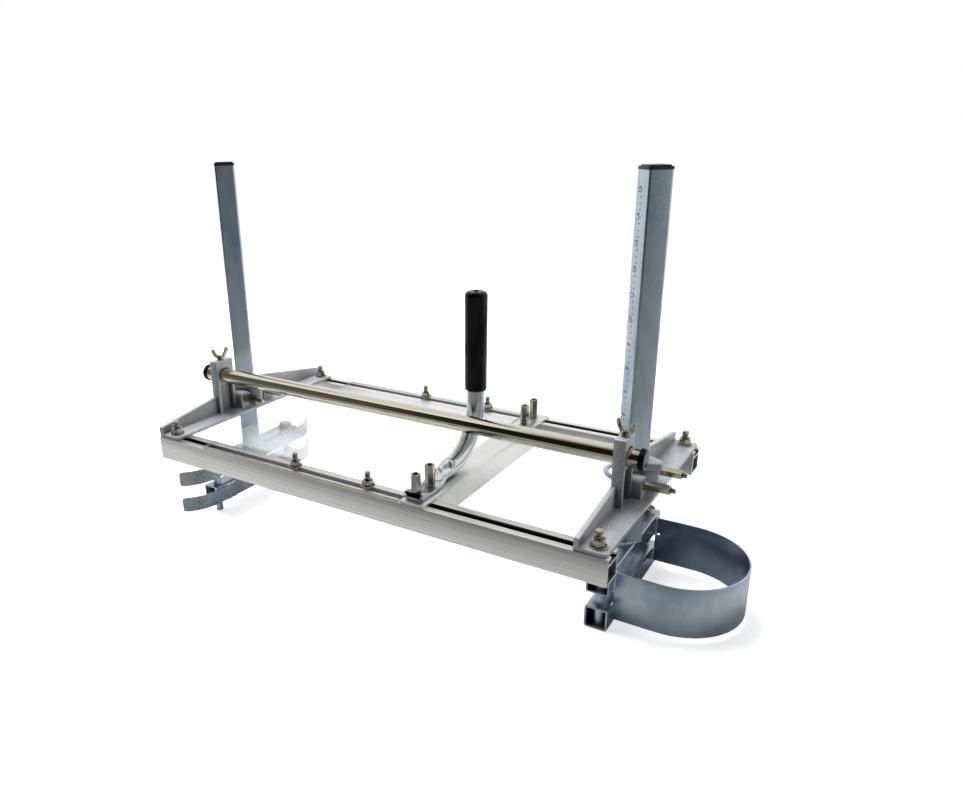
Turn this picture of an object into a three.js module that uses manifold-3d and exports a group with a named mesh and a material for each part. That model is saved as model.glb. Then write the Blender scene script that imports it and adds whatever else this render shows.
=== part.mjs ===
// Chainsaw mill, 24 inch: two T-slot rails, a cast bracket on each end with a square riser
// clamped in its V-block, jaw tubes under the risers that grip the saw bar, a push bar,
// a bent handle on a crossbeam and a clear guard sheet.
// Millimetres, +Z up, +X along the rails to the nose end, +Y from the front rail to the rear rail.
import * as THREE from 'three';
import { mergeVertices } from 'three/addons/utils/BufferGeometryUtils.js';
import Module from 'manifold-3d';

const wasm = await Module();
wasm.setup();

// Driving dimensions. Heights are measured from the top face of the rails.
const seat = 0.2; // gap kept between pieces that slide or rest on each other
const rail = { length: 610, width: 27, height: 29, pitch: 292, wall: 2.2 };
const railSlot = { width: 9, lip: 2.2, channel: 7, web: 2 };
const frameDepth = rail.pitch + rail.width;
const middle = frameDepth / 2;
const slotFront = rail.width / 2;
const slotRear = rail.pitch + rail.width / 2;

const bracket = { width: 33, flange: 4.2, inset: 1.5, pitch: 575, cornerRadius: 4, boltX: 20 };
const fin = { thickness: 5.6, endTop: 13.5, frontTop: 32, rearTop: 36.5, frontPeak: 131, rearPeak: 188 };
const tower = { depthX: 12.4, front: 97.7, back: 127.8, top: 78, wall: 4.2, pocketTop: 45, pocketDepth: 7.4 };
const vBlock = { top: 37, rim: 8, web: 2.5, armHalf: 24.4 };
const vNose = { x: 33.4, half: 4.7, shoulderX: 17, shoulderHalf: 13 };
const boss = { radius: 9.2, face: 22.5 };

const tube = { side: 25.4, wall: 2, corner: 2.6 };
const riser = { x: 1.6, top: 333, bottom: -61.2, capThickness: 4, plugDepth: 12 };
const jaw = { halfLength: 86.5, leftGap: 13.4, rightGap: 17, boltReach: 74.5 };
const skid = { height: 20.5, thickness: 3, curveRadius: 57.4, curveLength: 46.2, tipRadius: 5 };
const hoop = { top: -64, height: 56.5, thickness: 2, halfWidth: 72, reach: 119, holeRadius: 1.6 };

const bar = { radius: 10, height: 56.3, left: -18.7, right: 602.5, wall: 2 };
const barCap = { radius: 11.5, length: 6, end: 2 };
const barHole = { radius: 11, rise: 0.8 };
const wingScrew = { radius: 3, hubRadius: 4.6, hubHeight: 6, ear: 2.6, leftTurn: 76, rightTurn: -25 };

const beam = { x: 380, width: 30, thickness: 3, drop: 26, boltX: 392.5, innerBolt: 41.5 };
const handle = { radius: 10.25, wall: 2, rise: 143, bend: 60, top: 198 };
const handleFoot = { front: 8, pressedTo: 47, dentedTo: 66, doubleWall: 3.4 };
const grip = { radius: 12.8, bottom: 88.4, top: 203.2, wall: 2.3, round: 5, dish: 0.9 };
const nipple = { radius: 1.5, height: 1.6 };
const sheet = { left: 80, right: 377, thickness: 3, inset: 0.5 };
const sheetBoltX = { front: [223.5, 329], rear: [219.5, 322] };

const m8 = { radius: 3.95, hole: 4.5, acrossFlats: 13, nut: 6.5, washer: 8.5, washerThickness: 1.6 };
const m6 = { radius: 2.95, hole: 3.5, acrossFlats: 10, washer: 6.4, washerThickness: 1.2 };
const quarterInch = { radius: 3.1, hole: 3.6, acrossFlats: 11.1, nut: 5.5, washer: 8, washerThickness: 1.5 };
const boreGap = 0.2;
const teePlate = { side: 20, thickness: 4 };
const longNutLength = 25;
const uBolt = { reach: 22, height: 18, bendX: -4, threadEnd: 55.5, nutLength: 26 };
const clampHead = { height: 6.4, acrossFlats: 17 };
const clampBolt = { leftRadius: 4.9, rightRadius: 6.1, leftLength: 80, rightLength: 67.5 };

// Finishes
function finish(color, roughness, metalness, opacity = 1) {
  const transparent = opacity < 1;
  return new THREE.MeshStandardMaterial({ color, roughness, metalness, opacity, transparent });
}

const extrudedAluminium = finish(0xb9bab8, 0.45, 0.8);
const castAluminium = finish(0xb2b4b9, 0.5, 0.7);
const zincSteel = finish(0x9aa6ad, 0.4, 0.9);
const brightSteel = finish(0xd8d4cc, 0.1, 1);
const nickelSteel = finish(0xb3aa98, 0.3, 1);
const blackRubber = finish(0x15161a, 0.35, 0);
const clearSheet = finish(0xf2f5f7, 0.05, 0, 0.3);

// Closed geometry to a manifold solid, turned right side out, without empty triangles
function solid(geometry) {
  const bare = geometry.clone();
  bare.deleteAttribute('normal');
  bare.deleteAttribute('uv');
  const merged = mergeVertices(bare, 1e-4);
  const source = merged.getIndex().array;
  const position = merged.getAttribute('position');
  const corners = [];
  let volume = 0;
  const a = new THREE.Vector3();
  const b = new THREE.Vector3();
  const c = new THREE.Vector3();
  for (let i = 0; i < source.length; i += 3) {
    const [p, q, r] = [source[i], source[i + 1], source[i + 2]];
    if (p === q || q === r || r === p) continue;
    corners.push(p, q, r);
    a.fromBufferAttribute(position, p);
    b.fromBufferAttribute(position, q);
    c.fromBufferAttribute(position, r);
    volume += a.dot(b.cross(c));
  }
  if (volume < 0) {
    corners.reverse();
  }
  const mesh = new wasm.Mesh({
    numProp: 3,
    vertProperties: new Float32Array(position.array),
    triVerts: new Uint32Array(corners),
  });
  return new wasm.Manifold(mesh);
}

function geometryOf(body) {
  const mesh = body.getMesh();
  const geometry = new THREE.BufferGeometry();
  geometry.setAttribute('position', new THREE.BufferAttribute(new Float32Array(mesh.vertProperties), 3));
  geometry.setIndex(new THREE.BufferAttribute(new Uint32Array(mesh.triVerts), 1));
  return geometry;
}

function union(parts) {
  return parts.reduce((whole, part) => whole.add(part));
}

// Outlines drawn in one plane and pushed out along the third axis
function polygon(points) {
  return new THREE.Shape(points.map(([u, v]) => new THREE.Vector2(u, v)));
}

function prism(shape, depth, segments = 6) {
  return new THREE.ExtrudeGeometry(shape, { depth, bevelEnabled: false, curveSegments: segments });
}

// Plan outline in X and Y, pushed up from z
function upright(shape, z, height, segments) {
  return solid(prism(shape, height, segments).translate(0, 0, z));
}

// Side outline in Y and Z, pushed along +X from x
function lengthwise(shape, x, length, segments) {
  const turn = new THREE.Matrix4().set(0, 0, 1, x, 1, 0, 0, 0, 0, 1, 0, 0, 0, 0, 0, 1);
  return solid(prism(shape, length, segments).applyMatrix4(turn));
}

// End outline in X and Z, pushed along +Y from y
function crosswise(shape, y, length, segments) {
  const turn = new THREE.Matrix4().set(1, 0, 0, 0, 0, 0, -1, y + length, 0, 1, 0, 0, 0, 0, 0, 1);
  return solid(prism(shape, length, segments).applyMatrix4(turn));
}

function roundedRectangle(u, v, width, height, radius) {
  const shape = new THREE.Shape();
  shape.moveTo(u + radius, v);
  shape.lineTo(u + width - radius, v);
  shape.absarc(u + width - radius, v + radius, radius, -Math.PI / 2, 0, false);
  shape.lineTo(u + width, v + height - radius);
  shape.absarc(u + width - radius, v + height - radius, radius, 0, Math.PI / 2, false);
  shape.lineTo(u + radius, v + height);
  shape.absarc(u + radius, v + height - radius, radius, Math.PI / 2, Math.PI, false);
  shape.lineTo(u, v + radius);
  shape.absarc(u + radius, v + radius, radius, Math.PI, 1.5 * Math.PI, false);
  return shape;
}

function tubeOutline(u, v, side) {
  const outline = roundedRectangle(u, v, side, side, tube.corner);
  const inner = side - 2 * tube.wall;
  outline.holes.push(roundedRectangle(u + tube.wall, v + tube.wall, inner, inner, tube.corner - 1));
  return outline;
}

function hexagon(u, v, acrossFlats, turn = 0) {
  const radius = acrossFlats / Math.sqrt(3);
  const angles = [0, 1, 2, 3, 4, 5].map((k) => turn + k * Math.PI / 3);
  return polygon(angles.map((angle) => [u + radius * Math.cos(angle), v + radius * Math.sin(angle)]));
}

function disc(u, v, radius) {
  const shape = new THREE.Shape();
  shape.absarc(u, v, radius, 0, 2 * Math.PI, false);
  return shape;
}

function pin(x, y, z, radius, height, segments = 10) {
  return upright(disc(x, y, radius), z, height, segments);
}

function pinAlongX(x, y, z, radius, length, segments = 10) {
  return lengthwise(disc(y, z, radius), x, length, segments);
}

// Turned piece about a line parallel to Z, from [radius, z] points that start and end on the axis
function turned(points, x, y, segments = 24) {
  const profile = points.map(([radius, z]) => new THREE.Vector2(radius, z));
  return solid(new THREE.LatheGeometry(profile, segments).rotateX(Math.PI / 2).translate(x, y, 0));
}

// The assembly and its two ends
const mill = new THREE.Group();
const frame = new THREE.Group();
const leftEnd = new THREE.Group();
const rightEnd = new THREE.Group();
rightEnd.position.x = bracket.pitch;
frame.add(leftEnd, rightEnd);
mill.add(frame);

function piece(parent, name, body, material) {
  const mesh = new THREE.Mesh(geometryOf(body), material);
  mesh.name = name;
  parent.add(mesh);
}

// Rails: a box extrusion with a T-channel open at the top
function makeRail() {
  const { width, height, wall, length } = rail;
  const { lip, channel, web } = railSlot;
  const slotLeft = (width - railSlot.width) / 2;
  const slotRight = (width + railSlot.width) / 2;
  const outline = polygon([
    [0, -height], [width, -height], [width, 0], [slotRight, 0], [slotRight, -lip], [width - wall, -lip],
    [width - wall, -channel], [wall, -channel], [wall, -lip], [slotLeft, -lip], [slotLeft, 0], [0, 0],
  ]);
  const chamberTop = -channel - web;
  outline.holes.push(polygon([
    [wall, wall - height], [wall, chamberTop], [width - wall, chamberTop], [width - wall, wall - height],
  ]));
  return lengthwise(outline, 0, length);
}

// Cast end bracket: flange, tapering fin, bar tower, V-block and the two bosses of the U-bolt
function makeBracket() {
  const near = bracket.inset;
  const far = frameDepth - bracket.inset;
  const { width, cornerRadius } = bracket;
  const flangeOutline = new THREE.Shape();
  flangeOutline.moveTo(0, near);
  flangeOutline.lineTo(width - cornerRadius, near);
  flangeOutline.absarc(width - cornerRadius, near + cornerRadius, cornerRadius, -Math.PI / 2, 0, false);
  flangeOutline.lineTo(width, far - cornerRadius);
  flangeOutline.absarc(width - cornerRadius, far - cornerRadius, cornerRadius, 0, Math.PI / 2, false);
  flangeOutline.lineTo(0, far);
  const finOutline = polygon([
    [near, 0], [far, 0], [far, fin.endTop], [fin.rearPeak, fin.rearTop], [middle, vBlock.top],
    [fin.frontPeak, fin.frontTop], [near, fin.endTop],
  ]);
  const towerOutline = polygon([
    [0, tower.front], [tower.depthX, tower.front], [tower.depthX, tower.back], [0, tower.back],
  ]);
  const vOutline = (inset) => {
    const half = [
      [vNose.x - inset, vNose.half - inset], [vNose.shoulderX - inset, vNose.shoulderHalf - inset],
      [fin.thickness, vBlock.armHalf - inset], [0, vBlock.armHalf - inset],
    ];
    return polygon([
      ...half.map(([x, y]) => [x, middle + y]),
      ...half.map(([x, y]) => [x, middle - y]).reverse(),
    ]);
  };
  const solids = [
    upright(flangeOutline, seat, bracket.flange - seat, 4),
    lengthwise(finOutline, 0, fin.thickness),
    upright(towerOutline, seat, tower.top - seat),
    upright(vOutline(vBlock.web), seat, vBlock.top - seat),
    upright(vOutline(0), vBlock.top - vBlock.rim, vBlock.rim),
  ];
  for (const side of [-1, 1]) {
    solids.push(pinAlongX(0, middle + side * uBolt.reach, uBolt.height, boss.radius, boss.face, 14));
    const pad = polygon([
      [0, middle + side * uBolt.reach - boss.radius], [boss.face, middle + side * uBolt.reach - boss.radius],
      [boss.face, middle + side * uBolt.reach + boss.radius], [0, middle + side * uBolt.reach + boss.radius],
    ]);
    solids.push(upright(pad, seat, uBolt.height - seat));
  }
  let body = union(solids);
  // V-groove that takes the riser's corner
  const apex = riser.x + tube.side / Math.SQRT2 + 0.4;
  const mouth = apex + 10;
  const groove = polygon([[apex, middle], [-10, middle + mouth], [-10, middle - mouth]]);
  body = body.subtract(upright(groove, -1, tower.top));
  const pocketWidth = tower.back - tower.front - 2 * tower.wall;
  const pocket = roundedRectangle(tower.front + tower.wall, -10, pocketWidth, tower.pocketTop + 10, 5);
  const pocketCut = lengthwise(pocket, tower.depthX - tower.pocketDepth, 20, 4);
  const abovePad = polygon([[-1, tower.front], [40, tower.front], [40, tower.back], [-1, tower.back]]);
  body = body.subtract(pocketCut.intersect(upright(abovePad, bracket.flange, 80)));
  const towerMiddle = (tower.front + tower.back) / 2;
  const barBore = pinAlongX(-1, towerMiddle, bar.height + barHole.rise, barHole.radius, tower.depthX + 2, 16);
  body = body.subtract(barBore);
  body = body.subtract(pin(tower.depthX / 2, towerMiddle, bar.height, wingScrew.radius + 0.3, 40, 6));
  for (const side of [-1, 1]) {
    body = body.subtract(pinAlongX(-1, middle + side * uBolt.reach, uBolt.height, m6.hole, 60, 8));
  }
  for (const y of [slotFront, slotRear]) {
    body = body.subtract(pin(bracket.boltX, y, -1, m8.hole, 12, 8));
  }
  const base = polygon([[-1, -1], [60, -1], [60, frameDepth + 1], [-1, frameDepth + 1]]);
  return body.intersect(upright(base, seat, 200));
}

// Riser: square tube on its corner, and its moulded plug
function turnedSquare(side, radius) {
  const shape = new THREE.Shape();
  const flat = side / 2 - radius;
  const at = (k, u, v) => {
    const angle = Math.PI / 4 + k * Math.PI / 2;
    return [u * Math.cos(angle) - v * Math.sin(angle), u * Math.sin(angle) + v * Math.cos(angle)];
  };
  for (const k of [0, 1, 2, 3]) {
    const [cx, cy] = at(k, flat, flat);
    const start = k * Math.PI / 2 + Math.PI / 4;
    shape.absarc(cx, cy, radius, start, start + Math.PI / 2, false);
  }
  shape.closePath();
  return shape;
}

function makeRiser() {
  const outline = turnedSquare(tube.side, tube.corner);
  outline.holes.push(turnedSquare(tube.side - 2 * tube.wall, tube.corner - 1));
  const bottom = riser.bottom + seat;
  return upright(outline, bottom, riser.top - bottom, 3).translate([riser.x, middle, 0]);
}

function makeRiserCap() {
  const crown = riser.capThickness / 3;
  const plug = tube.side - 2 * tube.wall - 0.6;
  const rim = turnedSquare(tube.side + 0.8, tube.corner + 0.4);
  const lid = upright(rim, riser.top + seat, riser.capThickness - crown, 3);
  const face = turnedSquare(tube.side - 3, tube.corner);
  const top = upright(face, riser.top + 1, riser.capThickness - 1 + seat, 3);
  const stem = upright(turnedSquare(plug, 1.4), riser.top - riser.plugDepth, riser.plugDepth + 1, 3);
  return union([lid, top, stem]).translate([riser.x, middle, 0]);
}

// Jaw tubes under a riser, drilled for the two clamp bolts
function makeJawTube(top, boltRadius) {
  const left = riser.x - tube.side / 2;
  const section = tubeOutline(left, top - tube.side, tube.side);
  let body = crosswise(section, middle - jaw.halfLength, 2 * jaw.halfLength, 3);
  for (const side of [-1, 1]) {
    const y = middle + side * jaw.boltReach;
    body = body.subtract(pin(riser.x, y, top - tube.side - 1, boltRadius + 0.3, tube.side + 2, 6));
  }
  return body;
}

// Skid: strip on the jaw tube's inner face, flat in the middle, both ends curved away and rounded
function makeSkid(centreHeight) {
  const inner = riser.x + tube.side / 2 + seat;
  const outer = inner + skid.thickness;
  const straight = jaw.halfLength;
  const bend = Math.asin(skid.curveLength / skid.curveRadius);
  const centre = outer - skid.curveRadius;
  const outline = new THREE.Shape();
  outline.moveTo(outer, middle - straight);
  outline.lineTo(outer, middle + straight);
  outline.absarc(centre, middle + straight, skid.curveRadius, 0, bend, false);
  outline.absarc(centre, middle + straight, skid.curveRadius - skid.thickness, bend, 0, true);
  outline.lineTo(inner, middle - straight);
  outline.absarc(centre, middle - straight, skid.curveRadius - skid.thickness, 0, -bend, true);
  outline.absarc(centre, middle - straight, skid.curveRadius, -bend, 0, false);
  const bottom = centreHeight - skid.height / 2;
  const strip = upright(outline, bottom, skid.height, 8);
  const reach = straight + skid.curveLength;
  const sideView = roundedRectangle(middle - reach, bottom, 2 * reach, skid.height, skid.tipRadius);
  return strip.intersect(lengthwise(sideView, -60, 120, 5));
}

// Nose guard: a wide strip bent into a U and welded by its edges to the jaw tube
function makeNoseGuard() {
  const start = riser.x + tube.side / 2 + seat;
  const centre = start + hoop.reach - hoop.halfWidth;
  const innerRadius = hoop.halfWidth - hoop.thickness;
  const outline = new THREE.Shape();
  outline.moveTo(start, middle - hoop.halfWidth);
  outline.lineTo(centre, middle - hoop.halfWidth);
  outline.absarc(centre, middle, hoop.halfWidth, -Math.PI / 2, Math.PI / 2, false);
  outline.lineTo(start, middle + hoop.halfWidth);
  outline.lineTo(start, middle + innerRadius);
  outline.lineTo(centre, middle + innerRadius);
  outline.absarc(centre, middle, innerRadius, Math.PI / 2, -Math.PI / 2, true);
  outline.lineTo(start, middle - innerRadius);
  const strip = upright(outline, hoop.top - hoop.height, hoop.height, 32);
  const hole = crosswise(disc(start + 4, hoop.top - 21, hoop.holeRadius), middle, hoop.halfWidth + 5, 5);
  return strip.subtract(hole);
}

// Fasteners
function makeTeeBolt(size, x, y, top) {
  const plateTop = -railSlot.lip - seat;
  const half = teePlate.side / 2;
  const plate = polygon([
    [x - half, y - half], [x + half, y - half], [x + half, y + half], [x - half, y + half],
  ]);
  const stud = pin(x, y, plateTop - 1, size.radius, top - plateTop + 1, 8);
  return upright(plate, plateTop - teePlate.thickness, teePlate.thickness).add(stud);
}

function makeHexBolt(size, x, y, under, top) {
  const headHeight = size.radius * 4 / 3;
  const head = upright(hexagon(x, y, size.acrossFlats), under - headHeight, headHeight);
  return head.add(pin(x, y, under - 1, size.radius, top - under + 1, 8));
}

function makeNutAndWasher(size, x, y, z) {
  const washer = pin(x, y, z, size.washer, size.washerThickness, 6);
  const nut = upright(hexagon(x, y, size.acrossFlats, 0.3), z + size.washerThickness - 0.1, size.nut);
  return washer.add(nut).subtract(pin(x, y, z - 1, size.radius + boreGap, 20, 8));
}

function makeLongNut(size, x, y, z) {
  const body = upright(hexagon(x, y, size.acrossFlats, 0.2), z, longNutLength);
  return body.subtract(pin(x, y, z - 1, size.radius + boreGap, 40, 8));
}

// U-bolt: a half turn round the riser with two straight threaded legs
class HalfTurn extends THREE.Curve {
  getPoint(t, target = new THREE.Vector3()) {
    const angle = -Math.PI / 2 - Math.PI * t;
    const [x, y] = [uBolt.reach * Math.cos(angle), uBolt.reach * Math.sin(angle)];
    return target.set(uBolt.bendX + x, middle + y, uBolt.height);
  }
}

function makeUBolt() {
  const options = { steps: 16, curveSegments: 8, bevelEnabled: false, extrudePath: new HalfTurn() };
  const parts = [solid(new THREE.ExtrudeGeometry(disc(0, 0, m6.radius), options))];
  const overlap = 0.05;
  const length = uBolt.threadEnd - uBolt.bendX + overlap;
  for (const side of [-1, 1]) {
    const y = middle + side * uBolt.reach;
    parts.push(pinAlongX(uBolt.bendX - overlap, y, uBolt.height, m6.radius, length, 8));
  }
  return union(parts);
}

function makeLegNut(side) {
  const y = middle + side * uBolt.reach;
  const start = boss.face + seat;
  const washer = pinAlongX(start, y, uBolt.height, m6.washer, m6.washerThickness, 6);
  const outline = hexagon(y, uBolt.height, m6.acrossFlats, 0.35);
  const nut = lengthwise(outline, start + m6.washerThickness - 0.1, uBolt.nutLength);
  return washer.add(nut).subtract(pinAlongX(0, y, uBolt.height, m6.radius + boreGap, 80, 8));
}

function makeClampBolt(side, radius, length) {
  const y = middle + side * jaw.boltReach;
  const outline = hexagon(riser.x, y, clampHead.acrossFlats, 0.5);
  const head = upright(outline, riser.bottom + seat, clampHead.height);
  return head.add(pin(riser.x, y, riser.bottom - length, radius, length + 1, 6));
}

// Push bar: bright tube through both towers, with a slip-on cap at each end
function makePushBar() {
  const y = (tower.front + tower.back) / 2;
  const length = bar.right - bar.left;
  const outer = pinAlongX(bar.left, y, bar.height, bar.radius, length, 18);
  return outer.subtract(pinAlongX(bar.left - 1, y, bar.height, bar.radius - bar.wall, length + 2, 14));
}

function makeBarCap(end, direction) {
  const y = (tower.front + tower.back) / 2;
  const face = end + direction * (barCap.end + seat);
  const low = Math.min(face, face - direction * barCap.length);
  const shell = pinAlongX(low, y, bar.height, barCap.radius, barCap.length, 16);
  const boreLow = Math.min(end + direction * seat, end - direction * 20);
  return shell.subtract(pinAlongX(boreLow, y, bar.height, bar.radius + 0.15, 20 + seat, 18));
}

// Wing screw of a bar tower: shank, tapered hub and two flat ears that lean outwards
function makeWingScrew(turn) {
  const { radius, hubRadius, hubHeight, ear } = wingScrew;
  const base = tower.top + seat;
  const foot = bar.height + bar.radius + 0.4;
  const top = base + hubHeight;
  const profile = [
    [0, foot], [radius, foot], [radius, base], [hubRadius, base], [hubRadius * 0.8, top], [0, top],
  ];
  const hub = turned(profile, 0, 0, 14);
  // Outline of an ear, as distances from the axis and heights over the hub's base
  const earOutline = [
    [2.5, 1.5], [5, 2], [9, 5.5], [12.3, 11], [12.6, 14.5],
    [11.3, 16.4], [9.2, 16.2], [7.4, 14], [5.6, 10], [3, 6.5],
  ];
  const ears = [-1, 1].map((side) => {
    const outline = polygon(earOutline.map(([out, up]) => [side * out, base + up]));
    return crosswise(outline, -ear / 2, ear);
  });
  const place = [tower.depthX / 2, (tower.front + tower.back) / 2, 0];
  return union([hub, ...ears]).rotate([0, 0, turn]).translate(place);
}

// Crossbeam: an angle whose flat lies on the rails and whose leg hangs between them
function makeCrossbeam() {
  const right = beam.x + beam.width;
  const flat = polygon([[beam.x, 1], [right, 1], [right, frameDepth - 1], [beam.x, frameDepth - 1]]);
  const inside = rail.width + 0.6;
  const leg = polygon([
    [right - beam.thickness, inside], [right, inside], [right, frameDepth - inside],
    [right - beam.thickness, frameDepth - inside],
  ]);
  let body = upright(flat, seat, beam.thickness).add(upright(leg, -beam.drop, beam.drop + 1));
  for (const y of [slotFront, beam.innerBolt, frameDepth - beam.innerBolt, slotRear]) {
    body = body.subtract(pin(beam.boltX, y, -1, m6.hole, 12, 8));
  }
  return body;
}

// Handle: a tube that bends down to the crossbeam, where its upper wall is dented down on to the
// lower one and the foot is pressed wide and flat between two standing lips
const handleFloor = beam.thickness + 2 * seat;

// Height of the pressed foot's lips over its underside, by distance from the rail's front face
const lipHeights = [[8, 8.5], [14, 8.1], [24, 5.1], [47, 5.3], [61, 8.7], [66, handle.radius]];

function lipHeight(y) {
  const after = Math.max(1, lipHeights.findIndex(([station]) => station >= y));
  const [[y0, low], [y1, high]] = [lipHeights[after - 1], lipHeights[after]];
  return THREE.MathUtils.lerp(low, high, (y - y0) / (y1 - y0));
}

// Half of the section at a station, from the middle of the underside round to the middle of the top,
// as distances from the middle plane and heights over the underside
function halfSection(radius, { y, pressed, dented }) {
  const lip = pressed > 0 ? lipHeight(y) : radius;
  const floor = handleFoot.doubleWall;
  const flatSide = [[0, 0], [5, 0], [9.6, 0.15], [11.5, 1.9], [11.8, 4], [11.6, lip - 0.2]];
  const flatTop = [[10.6, lip], [8.6, lip - 0.6], [8, floor + 0.23 * (lip - floor)], [6, floor], [0, floor]];
  const nestedTop = [[9.4, 10.6], [7.3, 9.6], [5.9, 6.9], [3.4, 4.3], [0, floor]];
  const blend = (from, to, share) => from.map((value, axis) => THREE.MathUtils.lerp(value, to[axis], share));
  const points = [];
  for (let j = 0; j <= 10; j += 1) {
    const turn = Math.PI * (j / 10 - 0.5);
    const round = [radius * Math.cos(turn), radius + radius * Math.sin(turn)];
    const top = j > 5 ? blend(nestedTop[j - 6], flatTop[j - 6], pressed) : null;
    points.push(j > 5 ? blend(round, top, dented) : blend(round, flatSide[j], pressed));
  }
  return points;
}

function handleRings(radius, stations) {
  return stations.map((station) => {
    const { y, z, angle } = station;
    const half = halfSection(radius, station);
    const other = half.slice(1, 10).map(([across, up]) => [-across, up]).reverse();
    return [...half.slice(5), ...other, ...half.slice(0, 5)].map(([across, up]) => new THREE.Vector3(
      beam.boltX + across,
      y - (up - radius) * Math.sin(angle),
      z + (up - radius) * Math.cos(angle),
    ));
  });
}

function handleStations(top) {
  const lying = handleFloor + handle.radius;
  const bendY = handle.rise - handle.bend;
  const bendZ = lying + handle.bend;
  const fade = (y, from, to) => 1 - THREE.MathUtils.smoothstep(y, from, to);
  const { front, pressedTo, dentedTo } = handleFoot;
  const stations = [front, 14, 19, 24, 36, pressedTo, 54, 61, dentedTo, 72, 78].map((y) => ({
    y,
    z: lying,
    angle: 0,
    pressed: fade(y, pressedTo, dentedTo),
    dented: fade(y, dentedTo, bendY),
  }));
  const steps = 9;
  for (let k = 0; k <= steps; k += 1) {
    const angle = (Math.PI / 2) * (k / steps);
    const y = bendY + handle.bend * Math.sin(angle);
    stations.push({ y, z: bendZ - handle.bend * Math.cos(angle), angle, pressed: 0, dented: 0 });
  }
  stations.push({ y: handle.rise, z: top, angle: Math.PI / 2, pressed: 0, dented: 0 });
  return stations;
}

function loft(rings) {
  const count = rings[0].length;
  const positions = rings.flat().flatMap((p) => [p.x, p.y, p.z]);
  const index = [];
  for (let r = 0; r + 1 < rings.length; r += 1) {
    for (let k = 0; k < count; k += 1) {
      const next = (k + 1) % count;
      const [a, b, c, d] = [r * count + k, r * count + next, (r + 1) * count + next, (r + 1) * count + k];
      index.push(a, b, c, a, c, d);
    }
  }
  // Each end is closed by a strip between the points above and below the same width
  for (const end of [0, rings.length - 1]) {
    for (let k = 0; k < count / 2; k += 1) {
      const [upper, upperNext] = [end * count + k, end * count + k + 1];
      const [lower, lowerNext] = [end * count + (count - k) % count, end * count + count - k - 1];
      const faces = [[upperNext, upper, lower], [upperNext, lower, lowerNext]];
      for (const face of faces) {
        index.push(...(end === 0 ? face : face.reverse()));
      }
    }
  }
  const geometry = new THREE.BufferGeometry();
  geometry.setAttribute('position', new THREE.Float32BufferAttribute(positions, 3));
  geometry.setIndex(index);
  return geometry;
}

function makeHandle() {
  const outer = solid(loft(handleRings(handle.radius, handleStations(handle.top))));
  const bore = handleStations(handle.top + 5).filter((station) => station.dented === 0);
  const inner = solid(loft(handleRings(handle.radius - handle.wall, bore)));
  let body = outer.subtract(inner);
  for (const y of [slotFront, beam.innerBolt]) {
    body = body.subtract(pin(beam.boltX, y, -1, m6.hole, 30, 8));
  }
  return body;
}

function makeGrip() {
  const { radius, bottom, top, wall, round, dish } = grip;
  const tip = top + nipple.height;
  const profile = [[0, tip], [nipple.radius * 0.6, tip], [nipple.radius, top - dish], [radius - round, top]];
  for (let k = 1; k <= 4; k += 1) {
    const angle = (Math.PI / 2) * (1 - k / 4);
    profile.push([radius - round + round * Math.cos(angle), top - round + round * Math.sin(angle)]);
  }
  profile.push([radius, bottom + 2], [radius - 1, bottom], [radius - wall, bottom]);
  profile.push([radius - wall, handle.top + 1], [0, handle.top + 1]);
  return turned(profile, beam.boltX, handle.rise, 28);
}

const sheetBolts = [
  ['front_left', sheetBoltX.front[0], slotFront], ['front_right', sheetBoltX.front[1], slotFront],
  ['rear_left', sheetBoltX.rear[0], slotRear], ['rear_right', sheetBoltX.rear[1], slotRear],
];

function makeSheet() {
  const [width, depth] = [sheet.right - sheet.left, frameDepth - 2 * sheet.inset];
  let body = upright(roundedRectangle(sheet.left, sheet.inset, width, depth, 2), seat, sheet.thickness, 2);
  for (const [, x, y] of sheetBolts) {
    body = body.subtract(pin(x, y, -1, quarterInch.hole, 12, 8));
  }
  return body;
}

// Frame
const railBody = makeRail();
piece(frame, 'front_rail', railBody, extrudedAluminium);
piece(frame, 'rear_rail', railBody.translate([0, rail.pitch, 0]), extrudedAluminium);
piece(frame, 'push_bar', makePushBar(), brightSteel);
piece(frame, 'push_bar_cap_left', makeBarCap(bar.left, -1), blackRubber);
piece(frame, 'push_bar_cap_right', makeBarCap(bar.right, 1), blackRubber);
piece(frame, 'crossbeam', makeCrossbeam(), extrudedAluminium);
piece(frame, 'handle_tube', makeHandle(), zincSteel);
piece(frame, 'handle_grip', makeGrip(), blackRubber);
piece(frame, 'guard_sheet', makeSheet(), clearSheet);

// Bolts of the crossbeam: in the slots at both ends, and through the flat beside them
const beamTop = beam.thickness + seat;
const footTop = handleFloor + handleFoot.doubleWall;
for (const [place, y, base, inSlot] of [
  ['front_outer', slotFront, footTop, true],
  ['front_inner', beam.innerBolt, footTop, false],
  ['rear_inner', frameDepth - beam.innerBolt, beamTop, false],
  ['rear_outer', slotRear, beamTop, true],
]) {
  const top = base + longNutLength * 0.6;
  const bolt = inSlot ? makeTeeBolt(m6, beam.boltX, y, top) : makeHexBolt(m6, beam.boltX, y, 0, top);
  piece(frame, `beam_bolt_${place}`, bolt, nickelSteel);
  piece(frame, `beam_nut_${place}`, makeLongNut(m6, beam.boltX, y, base + seat), nickelSteel);
}

// Bolts of the guard sheet
const sheetTop = sheet.thickness + seat;
for (const [place, x, y] of sheetBolts) {
  piece(frame, `sheet_bolt_${place}`, makeTeeBolt(quarterInch, x, y, 20), nickelSteel);
  piece(frame, `sheet_nut_${place}`, makeNutAndWasher(quarterInch, x, y, sheetTop + seat), nickelSteel);
}

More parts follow.
